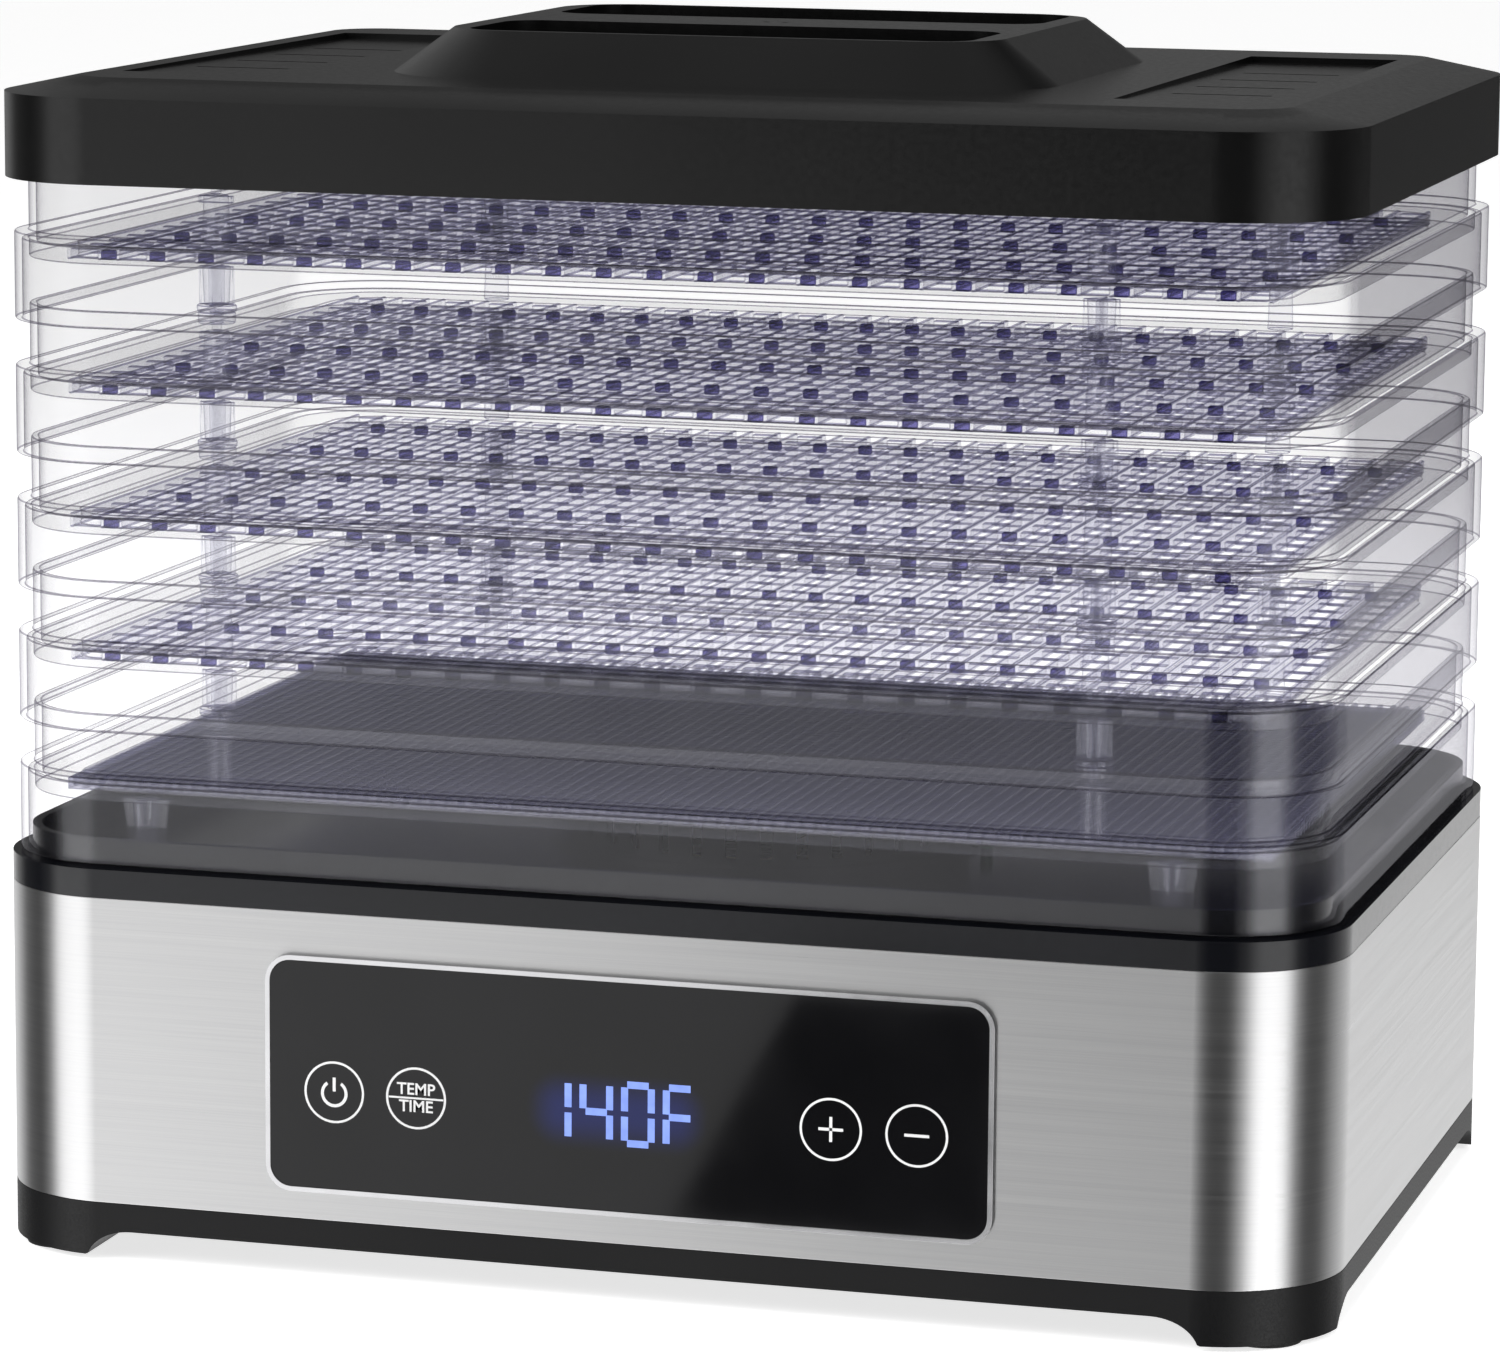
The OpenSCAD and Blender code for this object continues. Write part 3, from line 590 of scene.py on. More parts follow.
class DEHYDRATOR_OT_finishes(bpy.types.Operator):
    """Makes every material and paints the CAD nodes that stay in view"""

    bl_idname = "dehydrator.finishes"
    bl_label = "Finishes"

    def execute(self, context):
        made = {
            # Satin ABS with a fine spark-eroded grain: soft, broad highlights
            "black_shell": moulded("satin_black_abs", "#08080a", "#0d0d0e", 0.45, 0.5, 0.25, ior=1.42),
            "foot_rubber": moulded("foot_rubber", "#1a1a1a", "#222222", 0.75, 0.7, 0.4),
            # Glossy ABS with a blue cast: sharp reflections of the tray above
            "black_deck": moulded("gloss_black_abs", "#0a0b0f", "#0e0f14", 0.14, 2.0, 0.03, ior=1.44),
            # Lid: the same ABS, polished on its flats
            "lid_black": moulded("polished_black_abs", "#0a0a0a", "#0e0e0e", 0.2, 1.6, 0.04),
            "brushed_wrap": brushed_stainless(),
            "bezel_chrome": polished_chrome(),
            "panel_black": black_acrylic(),
            # In each clear finish the second colour is the painted shade of rounded edges, and also the tint
            # of walls seen edge-on
            "clear_tray": clear_styrene("clear_styrene", "#ffffff", "#84808f", 0.75, 0.8, 0.03),
            "clear_mesh": clear_styrene(
                "clear_styrene_ribs", "#fdfdfe", "#8885a6", 0.75, 0.8, 0.03, haze=0.04
            ),
            # Thick tie blocks: a darker copy of the styrene, partly the real deeper tint of thicker plastic,
            # partly painted shade
            "mesh_dark": clear_styrene("clear_styrene_deep", "#a9a5cc", "#524e86", 0.9, 0.9, 0.02),
            # Close weave: so many thin ribs that each one's gloss counts
            "mesh_fine": clear_styrene(
                "clear_styrene_weave", "#eeeef4", "#8b89a6", 0.7, 0.7, 0.06, haze=0.16
            ),
            "ink_white": moulded("white_ink", "#e2e2e2", "#f0f0f0", 0.5, 0.4, 0.1),
            "display_lit": lit("blue_segments", colours().glow, colours().lens_bright),
            "display_body": moulded("smoked_display", "#0d1018", "#121622", 0.2, 2.0, 0.05),
            # Green solder mask over copper: slightly wavy gloss
            "circuit_board": moulded("solder_mask", "#12502a", "#1c6a3a", 0.35, 1.5, 0.3),
            "component_black": moulded("component_epoxy", "#17181c", "#24262b", 0.45, 0.6, 0.3),
            "spring_gold": moulded("gilt_spring_wire", "#b9923f", "#d8b25c", 0.25, 0.5, 0.2, metallic=1.0),
            "sheet_metal": moulded("galvanised_sheet", "#a6a8aa", "#bfc1c3", 0.38, 6.0, 0.2, metallic=1.0),
            "screw_steel": moulded("zinc_plated_steel", "#9c9c98", "#b7b6ae", 0.3, 0.8, 0.2, metallic=1.0),
            "lamination": moulded(
                "varnished_laminations", "#3e4145", "#565a5f", 0.45, 0.5, 0.6, metallic=1.0
            ),
            "copper": moulded("enamelled_copper", "#7c3a1c", "#a65a2c", 0.3, 0.35, 0.8, metallic=1.0),
            "fan_alloy": moulded("rolled_aluminium", "#b8babc", "#cfd0d1", 0.34, 3.0, 0.2, metallic=1.0),
            "mica": moulded("pressed_mica", "#7d673f", "#a98f5e", 0.4, 2.5, 0.5),
            "heater_wire": moulded("oxidised_nichrome", "#4c4440", "#6d625b", 0.5, 0.5, 0.5, metallic=1.0),
            "sensor_resin": moulded("sensor_epoxy", "#1d4a28", "#2c6b3c", 0.25, 1.0, 0.1),
            "white_plastic": moulded("white_nylon", "#d9d5c8", "#e9e6dc", 0.45, 0.7, 0.2),
            "lead_insulation": moulded("silicone_sleeve", "#7c1e16", "#9a2b20", 0.5, 0.8, 0.2),
        }
        FINISHES.update(made)
        for row in frame["record"]["subparts"]:
            node = frame["nodes"][row["node"]]
            node.data.materials.clear()
            node.data.materials.append(made[row["material_slot"]])
        softened = {
            "bottom_housing": 0.7, "top_deck": 0.6, "diffuser_drum": 0.3, "drum_cap": 0.4,
            "panel_bezel": 0.2, "panel_lens": 0.15, "foot_pads": 0.3, "cord_gland": 0.4, "motor_stator": 0.2,
            "motor_winding": 1.2, "fan_impeller": 0.15, "board_parts": 0.5, "terminal_block": 0.4,
        }
        for name, edge in softened.items():
            soften_node(name, edge * MM)
        return {"FINISHED"}


# ---------------------------------------------------------------- lid


def tapered_block(low, high, front_drop, rear_drop):
    """A box whose floor runs from one depth at the front to another at the rear."""
    block(low, high)
    for drop, y in ((front_drop, low[1]), (rear_drop, high[1])):
        pick_verts(
            lambda co: abs(co.y - y) < NEAR and abs(co.z - low[2]) < NEAR
            and low[0] - NEAR < co.x < high[0] + NEAR
        )
        bpy.ops.transform.translate(value=(0, 0, -drop))


# The lid's own heights and outlines, as on the frame
LID_SKIRT = 20.5 * MM
LID_BORDER = 3.8 * MM
LID_WALL = 2.2 * MM
GRIP_WIDTH, GRIP_DEPTH, GRIP_CORNER = 168 * MM, 156 * MM, 34 * MM
GRIP_SLOPE = 15 * MM
WELL_WIDTH, WELL_DEPTH, WELL_CORNER = 126 * MM, 43 * MM, 9 * MM
WELL_SUNK = 15.5 * MM


def lid_form(name, inset, base, border, plateau):
    """The lid's outside, or its hollow when inset: skirt, sloped border and plateau."""
    form = start_piece(name)
    rounded_face(2 * (HALF_W - inset), 2 * (HALF_D - inset), sizes().corner - inset, base, 28)
    grow(0, border - base)
    grow(sizes().lid_slope, plateau - border)
    return close_piece(form, smooth=False)


def grip_form(name, inset, base, top):
    """The raised grip: a rounded block whose sides slope in to its rim."""
    form = start_piece(name)
    rounded_face(GRIP_WIDTH - 2 * inset, GRIP_DEPTH - 2 * inset, GRIP_CORNER - inset, base, 28)
    grow(GRIP_SLOPE, top - base)
    bpy.ops.transform.resize(value=(1, (60 * MM - inset) / (63 * MM - inset), 1), center_override=(0, 0, top))
    return close_piece(form, smooth=False)


def well_block(name, side, grow_by, floor, top):
    """One finger well, front or rear of the grip bar."""
    form = start_piece(name)
    rounded_face(WELL_WIDTH + 2 * grow_by, WELL_DEPTH + 2 * grow_by, WELL_CORNER + grow_by, floor, 12)
    grow(0, top - floor)
    bpy.ops.mesh.select_all(action="SELECT")
    bpy.ops.transform.translate(value=(0, side * 36.5 * MM, 0))
    return close_piece(form, smooth=False)


def panel_block(name, width, height, radius, low, high, steps=10):
    """A block with rounded corners standing in the front of the base, round the panel's centre."""
    form = start_piece(name)
    bpy.ops.mesh.primitive_plane_add(size=1, location=(0, 0, 0))
    bpy.ops.transform.resize(value=(width, height, 1), center_override=(0, 0, 0))
    bpy.ops.mesh.bevel(offset=radius, segments=steps, affect="VERTICES", clamp_overlap=False)
    bpy.ops.mesh.select_mode(type="FACE")
    bpy.ops.mesh.extrude_region_move(TRANSFORM_OT_translate={"value": (0, 0, high - low)})
    close_piece(form, smooth=False)
    centre = (LENS_LOW + LENS_HIGH) / 2
    form.data.transform(Matrix.Translation((centre.x, high, centre.z)) @ Matrix.Rotation(math.pi / 2, 4, "X"))
    return form


class DEHYDRATOR_OT_base(bpy.types.Operator):
    """Brushed band round the base, with the panel's window"""

    bl_idname = "dehydrator.base"
    bl_label = "Steel band"

    def execute(self, context):
        wrap = start_piece("steel_band")
        thick = 0.8 * MM
        ring_shell([(0, WRAP_LOW.z), (0, WRAP_HIGH.z)], [(thick, WRAP_LOW.z), (thick, WRAP_HIGH.z)])
        close_piece(wrap, smooth=False)
        cut_with(
            wrap, panel_block("window", 172.4 * MM, 50.4 * MM, 4 * MM, -HALF_D - 5 * MM, -HALF_D + 5 * MM)
        )
        round_edges(wrap, 0.25 * MM, steps=2, angle=50)
        dress(wrap, finish_of("brushed_wrap"), "base", "brushed_wrap", "steel_wrap")
        return {"FINISHED"}


class DEHYDRATOR_OT_lid(bpy.types.Operator):
    """Lid: skirt, sloped border, raised grip with two finger wells, vent pockets with slits"""

    bl_idname = "dehydrator.lid"
    bl_label = "Lid"

    def execute(self, context):
        base, top = LID_LOW.z, LID_HIGH.z
        border = base + LID_SKIRT
        plateau, wall = border + LID_BORDER, LID_WALL
        lid = lid_form("lid_shell", 0, base, border, plateau)
        cut_with(lid, grip_form("grip", 0, plateau - 0.8 * MM, top), "UNION")
        hollow = lid_form("hollow", wall, base + 4 * MM, border - 0.6 * MM, plateau - wall)
        cut_with(hollow, grip_form("grip_hollow", wall, plateau - wall - 0.5 * MM, top - wall), "UNION")
        floor = top - WELL_SUNK
        for side in (-1, 1):
            cut_with(hollow, well_block("well_wall", side, wall, floor - wall, top + 2 * MM))
        cut_with(lid, hollow)
        seat = start_piece("seat")
        rounded_face(
            2 * (HALF_W - 4.9 * MM), 2 * (HALF_D - 4.9 * MM), sizes().corner - 4.9 * MM, base - 1 * MM, 28
        )
        grow(0, 3 * MM)
        close_piece(seat, smooth=False)
        cut_with(lid, seat)
        mouth = start_piece("mouth")
        rounded_face(
            2 * (HALF_W - 10.3 * MM), 2 * (HALF_D - 10.3 * MM), sizes().corner - 10.3 * MM, base + 1 * MM, 28
        )
        grow(0, 4 * MM)
        close_piece(mouth, smooth=False)
        cut_with(lid, mouth)
        for side in (-1, 1):
            cut_with(lid, well_block("well", side, 0, floor, top + 1 * MM))
        for side in (-1, 1):
            pocket = start_piece("pocket")
            tapered_block(
                (side * 123 * MM - 19 * MM, -80 * MM, plateau - 0.2 * MM),
                (side * 123 * MM + 19 * MM, 80 * MM, plateau + 2 * MM), 0.35 * MM, 1.4 * MM
            )
            cut_with(lid, close_piece(pocket, smooth=False))
            slits = start_piece("slits")
            for i in range(5):
                y = (-76 + 28 * i) * MM
                block(
                    (side * 123 * MM - 12 * MM, y - 0.9 * MM, plateau - 5 * MM),
                    (side * 123 * MM + 12 * MM, y + 0.9 * MM, plateau + 2 * MM)
                )
            cut_with(lid, close_piece(slits, smooth=False))
        dots = start_piece("dots")
        for x in (-2.4, 2.4):
            rod(x * MM, 0, top - 1.2 * MM, top + 1 * MM, 0.9 * MM, steps=16)
        cut_with(lid, close_piece(dots, smooth=False))
        bpy.ops.object.select_all(action="DESELECT")
        bpy.context.view_layer.objects.active = lid
        lid.select_set(True)
        round_edges(lid, 0.7 * MM, steps=3, angle=28)
        dress(lid, finish_of("lid_black"), "lid_body", "lid_black", "lid", "lid_grip")
        return {"FINISHED"}


# ---------------------------------------------------------------- trays


def copy_of(source, name, rise):
    """A copy with its own mesh, moved up inside that mesh."""
    twin = source.copy()
    twin.data = source.data.copy()
    twin.name = twin.data.name = name
    twin.data.transform(Matrix.Translation((0, 0, rise)))
    bpy.context.scene.collection.objects.link(twin)
    return twin


def corners(x, y):
    return [(i * x, j * y) for i in (-1, 1) for j in (-1, 1)]


def tray_frame(name, shoulder):
    """One clear ring: upper wall, shoulder, skirt and floor border."""
    s = sizes()
    bore = s.wall_inset + s.wall
    rim, floor = shoulder + s.wall_rise, shoulder - s.floor_drop
    under, hem = floor - s.mesh_depth, shoulder - s.skirt_drop
    piece = start_piece(name)
    ring_shell(
        [(s.skirt_inset, hem), (s.skirt_inset, shoulder), (s.wall_inset, shoulder),
         (s.wall_inset, rim), (bore, rim), (bore, floor), (bore + s.floor_border, floor)],
        [(s.skirt_inset + s.wall, hem), (s.skirt_inset + s.wall, shoulder - s.wall),
         (s.wall_inset, shoulder - s.wall), (s.wall_inset, under), (bore + s.floor_border, under)])
    close_piece(piece, 0.55 * MM, steps=3)
    return piece


def tray_posts(name, shoulder, lowest):
    """Columns with pins above the floor, and cups or fluted legs below it."""
    s = sizes()
    floor = shoulder - s.floor_drop
    under = floor - s.mesh_depth
    top = shoulder + s.wall_rise
    piece = start_piece(name)
    for x, y in corners(HALF_W - 58.5 * MM, HALF_D - 14 * MM):
        rod(x, y, floor, top - 4.5 * MM, 3.4 * MM, 3.0 * MM, 20)
        block((x - 4.3 * MM, y - 0.9 * MM, top - 6.5 * MM), (x + 4.3 * MM, y + 0.9 * MM, top - 4.7 * MM))
        rod(x, y, top - 4.5 * MM, top, 1.25 * MM, 1.1 * MM, 16)
        if not lowest:
            cup = shoulder + s.wall_rise - 4.5 * MM + 1.8 * MM - 32.5 * MM
            rod(x, y, cup + 4.4 * MM, under, 3.0 * MM, 3.4 * MM, 20)
            for turn in (0, 1):
                reach, thin = (4.4 * MM, 0.5 * MM) if turn else (0.5 * MM, 4.4 * MM)
                block((x - reach, y - thin, cup + 4.4 * MM), (x + reach, y + thin, under))
            rod(x, y, cup + 2.8 * MM, cup + 4.5 * MM, 4.7 * MM, 4.8 * MM, 20)
            bpy.ops.mesh.primitive_cylinder_add(
                vertices=20, radius=4.5 * MM, depth=2.8 * MM, end_fill_type="NOTHING",
                location=(x, y, cup + 1.4 * MM))
            bpy.ops.mesh.primitive_cylinder_add(
                vertices=20, radius=1.6 * MM, depth=2.8 * MM, end_fill_type="NOTHING",
                location=(x, y, cup + 1.4 * MM))
            shape = bmesh.from_edit_mesh(piece.data)
            for z in (cup, cup + 2.8 * MM):
                near = [
                    v for v in shape.verts if v.is_boundary and abs(v.co.z - z) < 1e-5 and math.hypot(
                        v.co.x - x, v.co.y - y
                    ) < 6 * MM
                ]
                stitch(
                    shape,
                    *[
                        [
                            v for v in near if (math.hypot(v.co.x - x, v.co.y - y) > 3 * MM) == far
                        ] for far in (True, False)
                    ],
                    (x, y)
                )
            bmesh.update_edit_mesh(piece.data)
    if lowest:
        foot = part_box("tray_1_posts")[0].z
        for x, y in corners(HALF_W - 39.5 * MM, HALF_D - 14 * MM):
            rod(x, y, foot, under, 2.0 * MM, 3.4 * MM, 16)
            for turn in (0, 1):
                wide, thin = (1, 0.11) if turn else (0.11, 1)
                rod(x, y, foot, under, 5.2 * MM, 8.6 * MM, 4)
                bpy.ops.transform.rotate(
                    value=math.radians(45), orient_axis="Z", center_override=(x, y, foot)
                )
                bpy.ops.transform.resize(value=(wide, thin, 1), center_override=(x, y, foot))
    return close_piece(piece, 0.25 * MM, steps=1)


def array_rows(piece, axis, count, step):
    """Repeats the whole mesh in even steps, centred, by an applied array."""
    rows = piece.modifiers.new("rows", "ARRAY")
    rows.use_relative_offset = False
    rows.use_constant_offset = True
    rows.count = count
    rows.constant_offset_displace = [step if i == axis else 0 for i in range(3)]
    bpy.ops.object.modifier_apply(modifier=rows.name)
    shift = [0, 0, 0]
    shift[axis] = -step * (count - 1) / 2
    piece.data.transform(Matrix.Translation(shift))


def coarse_mesh(name, shoulder):
    """Ladders of two rails and short rungs, tied together along both edges."""
    s = sizes()
    inset = s.wall_inset + s.wall + s.floor_border
    half_w, half_d = HALF_W - inset, HALF_D - inset
    top = shoulder - s.floor_drop
    low = top - s.mesh_depth
    pitch = 2 * half_w / round(2 * half_w / s.weave_pitch)
    count = round(2 * half_w / pitch)
    rows = round(2 * half_d / s.weave_pitch)
    row = 2 * half_d / rows
    rungs = start_piece(name)
    block((-3.3 * MM, -1.3 * MM, low + 0.3 * MM), (3.3 * MM, 1.3 * MM, top - 0.7 * MM))
    close_piece(rungs, 0.35 * MM, steps=1, smooth=False)
    array_rows(rungs, 1, rows + 1, row)
    array_rows(rungs, 0, count, pitch)
    rails = start_piece(name + "_rails")
    for side in (-1, 1):
        block(
            (side * 3.9 * MM - 0.6 * MM, -half_d - 0.5 * MM, low),
            (side * 3.9 * MM + 0.6 * MM, half_d + 0.5 * MM, top)
        )
    close_piece(rails, 0.3 * MM, steps=1, smooth=False)
    array_rows(rails, 0, count, pitch)
    ties = start_piece(name + "_ties")
    for i in range(0, rows + 1):
        if i % 4 == 0:
            y = (i - rows / 2) * row
            block((-1.7 * MM, y - 1.2 * MM, low + 0.15 * MM), (1.7 * MM, y + 1.2 * MM, top - 1.0 * MM))
    close_piece(ties, 0.3 * MM, steps=1, smooth=False)
    array_rows(ties, 0, count - 1, pitch)
    return rungs, rails, ties


def fine_mesh(name, shoulder):
    """Crossed ribs, one layer sunk a little under the other, like a close weave."""
    s = sizes()
    inset = s.wall_inset + s.wall + s.floor_border
    half_w, half_d = HALF_W - inset, HALF_D - inset
    top = shoulder - s.floor_drop
    low = top - s.mesh_depth
    along = start_piece(name)
    block((-0.65 * MM, -half_d - 0.4 * MM, low + 0.8 * MM), (0.65 * MM, half_d + 0.4 * MM, top))
    close_piece(along, 0.25 * MM, steps=1, smooth=False)
    array_rows(along, 0, round(2 * half_w / s.fine_pitch), s.fine_pitch)
    across = start_piece(name + "_across")
    block((-half_w - 0.4 * MM, -0.65 * MM, low), (half_w + 0.4 * MM, 0.65 * MM, top - 0.5 * MM))
    close_piece(across, 0.25 * MM, steps=1, smooth=False)
    array_rows(across, 1, round(2 * half_d / s.fine_pitch), s.fine_pitch)
    return along, across


class DEHYDRATOR_OT_trays(bpy.types.Operator):
    """Five clear trays: the lowest on four legs with a fine mesh, four alike with a coarse mesh"""

    bl_idname = "dehydrator.trays"
    bl_label = "Trays"

    def execute(self, context):
        s = sizes()
        shoulders = [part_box(tray)[1].z - s.wall_rise for tray in TRAYS]
        clear, ribs, deep = finish_of("clear_tray"), finish_of("clear_mesh"), finish_of("mesh_dark")
        first = tray_frame("tray_1_frame", shoulders[0])
        posts = tray_posts("tray_1_posts", shoulders[0], True)
        along, across = fine_mesh("tray_1_weave", shoulders[0])
        dress(first, clear, "tray_1_body", "clear_tray", "tray_1")
        dress(posts, ribs, "tray_1_body", "clear_tray", "tray_1_posts")
        dress(along, finish_of("mesh_fine"), "tray_1_body", "clear_mesh", "tray_1_mesh")
        dress(across, finish_of("mesh_fine"), "tray_1_body", "clear_mesh")
        second = tray_frame("tray_2_frame", shoulders[1])
        stems = tray_posts("tray_2_posts", shoulders[1], False)
        rungs, rails, ties = coarse_mesh("tray_2_weave", shoulders[1])
        for i in range(1, 5):
            body, rise = f"tray_{i + 1}_body", shoulders[i] - shoulders[1]
            group = [second, stems, rungs, rails, ties]
            if i > 1:
                group = [copy_of(each, each.name.replace("tray_2", f"tray_{i + 1}"), rise) for each in group]
            dress(group[0], clear, body, "clear_tray", f"tray_{i + 1}")
            dress(group[1], ribs, body, "clear_tray", f"tray_{i + 1}_posts")
            dress(group[2], ribs, body, "clear_mesh", f"tray_{i + 1}_mesh")
            dress(group[3], ribs, body, "clear_mesh")
            dress(group[4], deep, body, "clear_mesh")
        return {"FINISHED"}


# ---------------------------------------------------------------- control panel


def stroke(ax, az, bx, bz, width, low, high):
    """A straight printed line on the panel: a box turned to run between its two ends."""
    length = math.hypot(bx - ax, bz - az)
    mid = ((ax + bx) / 2, (low + high) / 2, (az + bz) / 2)
    bpy.ops.mesh.select_all(action="DESELECT")
    bpy.ops.mesh.primitive_cube_add(size=1, location=mid)
    bpy.ops.transform.resize(value=(length, high - low, width), center_override=mid)
    turn = -math.atan2(bz - az, bx - ax)
    if abs(turn) > 1e-6:
        shape = bmesh.from_edit_mesh(bpy.context.object.data)
        spin = Matrix.Rotation(turn, 3, "Y")
        for vert in shape.verts:
            if vert.select:
                vert.co = Vector(mid) + spin @ (vert.co - Vector(mid))
        bmesh.update_edit_mesh(bpy.context.object.data)


def printed_ring(x, z, radius, width, low, high, start=0.0, sweep=360.0, steps=48):
    """A flat ring or arc of ink; angles run clockwise from the top."""
    shape = bmesh.from_edit_mesh(bpy.context.object.data)
    closed = sweep >= 359.9
    count = steps if closed else max(6, int(steps * sweep / 360))
    rows = []
    for i in range(count if closed else count + 1):
        a = math.radians(start + sweep * i / count)
        sx, sz = math.sin(a), math.cos(a)
        outer, inner = radius + width / 2, radius - width / 2
        section = ((outer, low), (inner, low), (inner, high), (outer, high))
        rows.append([shape.verts.new((x + sx * r, y, z + sz * r)) for r, y in section])
    pairs = list(zip(rows, rows[1:] + ([rows[0]] if closed else [])))
    for a, b in pairs:
        for j in range(4):
            shape.faces.new((a[j], a[(j + 1) % 4], b[(j + 1) % 4], b[j]))
    if not closed:
        shape.faces.new(rows[0][::-1])
        shape.faces.new(rows[-1])
    bmesh.update_edit_mesh(bpy.context.object.data)


def printed_word(word, x, z, height, depth_at):
    """A short word as a flat mesh on the panel's front."""
    bpy.ops.object.select_all(action="DESELECT")
    bpy.ops.object.text_add(location=(0, 0, 0))
    text = bpy.context.object
    text.data.body = word
    text.data.align_x = "CENTER"
    text.data.align_y = "CENTER"
    text.data.size = height / 0.72
    text.data.offset = 0.06 * MM
    text.data.extrude = 0.05 * MM
    text.data.resolution_u = 3
    bpy.ops.object.convert(target="MESH")
    text = bpy.context.object
    bpy.ops.object.mode_set(mode="EDIT")
    bpy.ops.mesh.select_all(action="SELECT")
    bpy.ops.mesh.remove_doubles(threshold=0.004 * MM)
    bpy.ops.mesh.normals_make_consistent(inside=False)
    bpy.ops.object.mode_set(mode="OBJECT")
    text.data.transform(Matrix.Translation((x, depth_at, z)) @ Matrix.Rotation(math.pi / 2, 4, "X"))
    return text


SEGMENTS = {"1": "bc", "4": "fgbc", "0": "abcdef", "F": "aefg"}


class DEHYDRATOR_OT_panel(bpy.types.Operator):
    """Printed touch symbols and the lit display behind the black lens"""

    bl_idname = "dehydrator.panel"
    bl_label = "Control panel"

    def execute(self, context):
        s = sizes()
        low, high = FRONT - 0.06 * MM, FRONT + 0.05 * MM
        z = (SPRINGS_LOW.z + SPRINGS_HIGH.z) / 2
        centres = [-73.5 * MM, -52.8 * MM, 49.8 * MM, 70.6 * MM]
        symbols = start_piece("touch_symbols")
        for x in centres:
            printed_ring(x, z, s.ring_radius, s.ink, low, high)
        power, mode, plus, minus = centres
        printed_ring(power, z - 0.3 * MM, 3.0 * MM, 0.75 * MM, low, high, 35, 290)
        stroke(power, z + 0.2 * MM, power, z + 3.6 * MM, 0.75 * MM, low, high)
        stroke(mode - 6.9 * MM, z, mode + 6.9 * MM, z, 0.45 * MM, low, high)
        for x in (plus, minus):
            stroke(x - 3.0 * MM, z, x + 3.0 * MM, z, 0.7 * MM, low, high)
        stroke(plus, z - 3.0 * MM, plus, z + 3.0 * MM, 0.7 * MM, low, high)
        close_piece(symbols, smooth=False)
        dress(symbols, finish_of("ink_white"), "base", "panel_black")
        for name, word, rise in (("word_upper", "TEMP", 2.1), ("word_lower", "TIME", -2.1)):
            label = printed_word(word, mode, z + rise * MM, 2.9 * MM, FRONT - 0.02 * MM)
            label.name = label.data.name = name
            dress(label, finish_of("ink_white"), "base", "panel_black")
        digits = start_piece("lit_digits")
        tall, wide, line, lean = 14.2 * MM, 6.6 * MM, 1.75 * MM, 0.0
        step = 10.3 * MM
        middle = (DISPLAY_LOW.x + DISPLAY_HIGH.x) / 2
        for i, digit in enumerate("140F"):
            left = middle - 1.5 * step + i * step - wide / 2
            base = z - tall / 2
            half = tall / 2
            gap = 0.65 * MM
            ends = {
                "a": (
                    left + gap, base + tall, left + wide - gap, base + tall
                ), "g": (left + gap, base + half, left + wide - gap, base + half),
                "d": (left + gap, base, left + wide - gap, base), "f": (
                    left, base + half + gap, left, base + tall - gap
                ),
                "b": (
                    left + wide, base + half + gap, left + wide, base + tall - gap
                ), "e": (left, base + gap, left, base + half - gap),
                "c": (left + wide, base + gap, left + wide, base + half - gap)}
            for key in SEGMENTS[digit]:
                ax, az, bx, bz = ends[key]
                stroke(ax, az, bx, bz, line, FRONT - 0.05 * MM, FRONT + 0.05 * MM)
        close_piece(digits, 0.5 * MM, steps=1, smooth=False)
        dress(digits, finish_of("display_lit"), "base", "display_body")
        return {"FINISHED"}


# ---------------------------------------------------------------- stage


def plain_glow(name, level):
    """Stage card of one even brightness."""
    finish, tree, out = new_finish(name)
    shader = add_node(tree, "ShaderNodeEmission", Color=(level, level, level, 1), Strength=1.0)
    tree.links.new(shader.outputs[0], out.inputs["Surface"])
    return finish


EYE = Vector((0.42115, -1.49141, 0.39053))


def mirror_flag():
    """A dark card out in front and below the floor, whose mirror image darkens the right of the lens."""
    twin = Vector((EYE.x, 2 * FRONT - EYE.y, EYE.z))
    edge_top, edge_low = Vector((0.0409, FRONT, 0.0781)), Vector((0.0112, FRONT, 0.0226))
    slant = (edge_top - edge_low) / (edge_top.z - edge_low.z)
    high, low = edge_top + slant * 0.0016, edge_low - slant * 0.0016
    outline = [high, low, Vector((0.0905, FRONT, low.z)), Vector((0.0905, FRONT, high.z))]
    shape = bmesh.from_edit_mesh(bpy.context.object.data)
    verts = []
    for at in outline:
        way = (at - twin).normalized()
        verts.append(shape.verts.new(at + way * 1.1))
    shape.faces.new(verts)
    bmesh.update_edit_mesh(bpy.context.object.data)


def by_angle(tree, angle, stops):
    """Brightness by compass angle: 0 in front, 90 at the right, up to 2."""
    share = add_node(
        tree, "ShaderNodeMapRange", Value=angle, From_Min=-math.pi, From_Max=math.pi, To_Min=0.0, To_Max=1.0
    )
    ramp = add_node(tree, "ShaderNodeValToRGB", Fac=share.outputs["Result"])
    marks = ramp.color_ramp.elements
    while len(marks) < len(stops):
        marks.new(0.5)
    for mark, (degrees, level) in zip(marks, stops):
        mark.position = (degrees + 180) / 360
        mark.color = (level / 2, level / 2, level / 2, 1)
    return ramp.outputs["Color"]


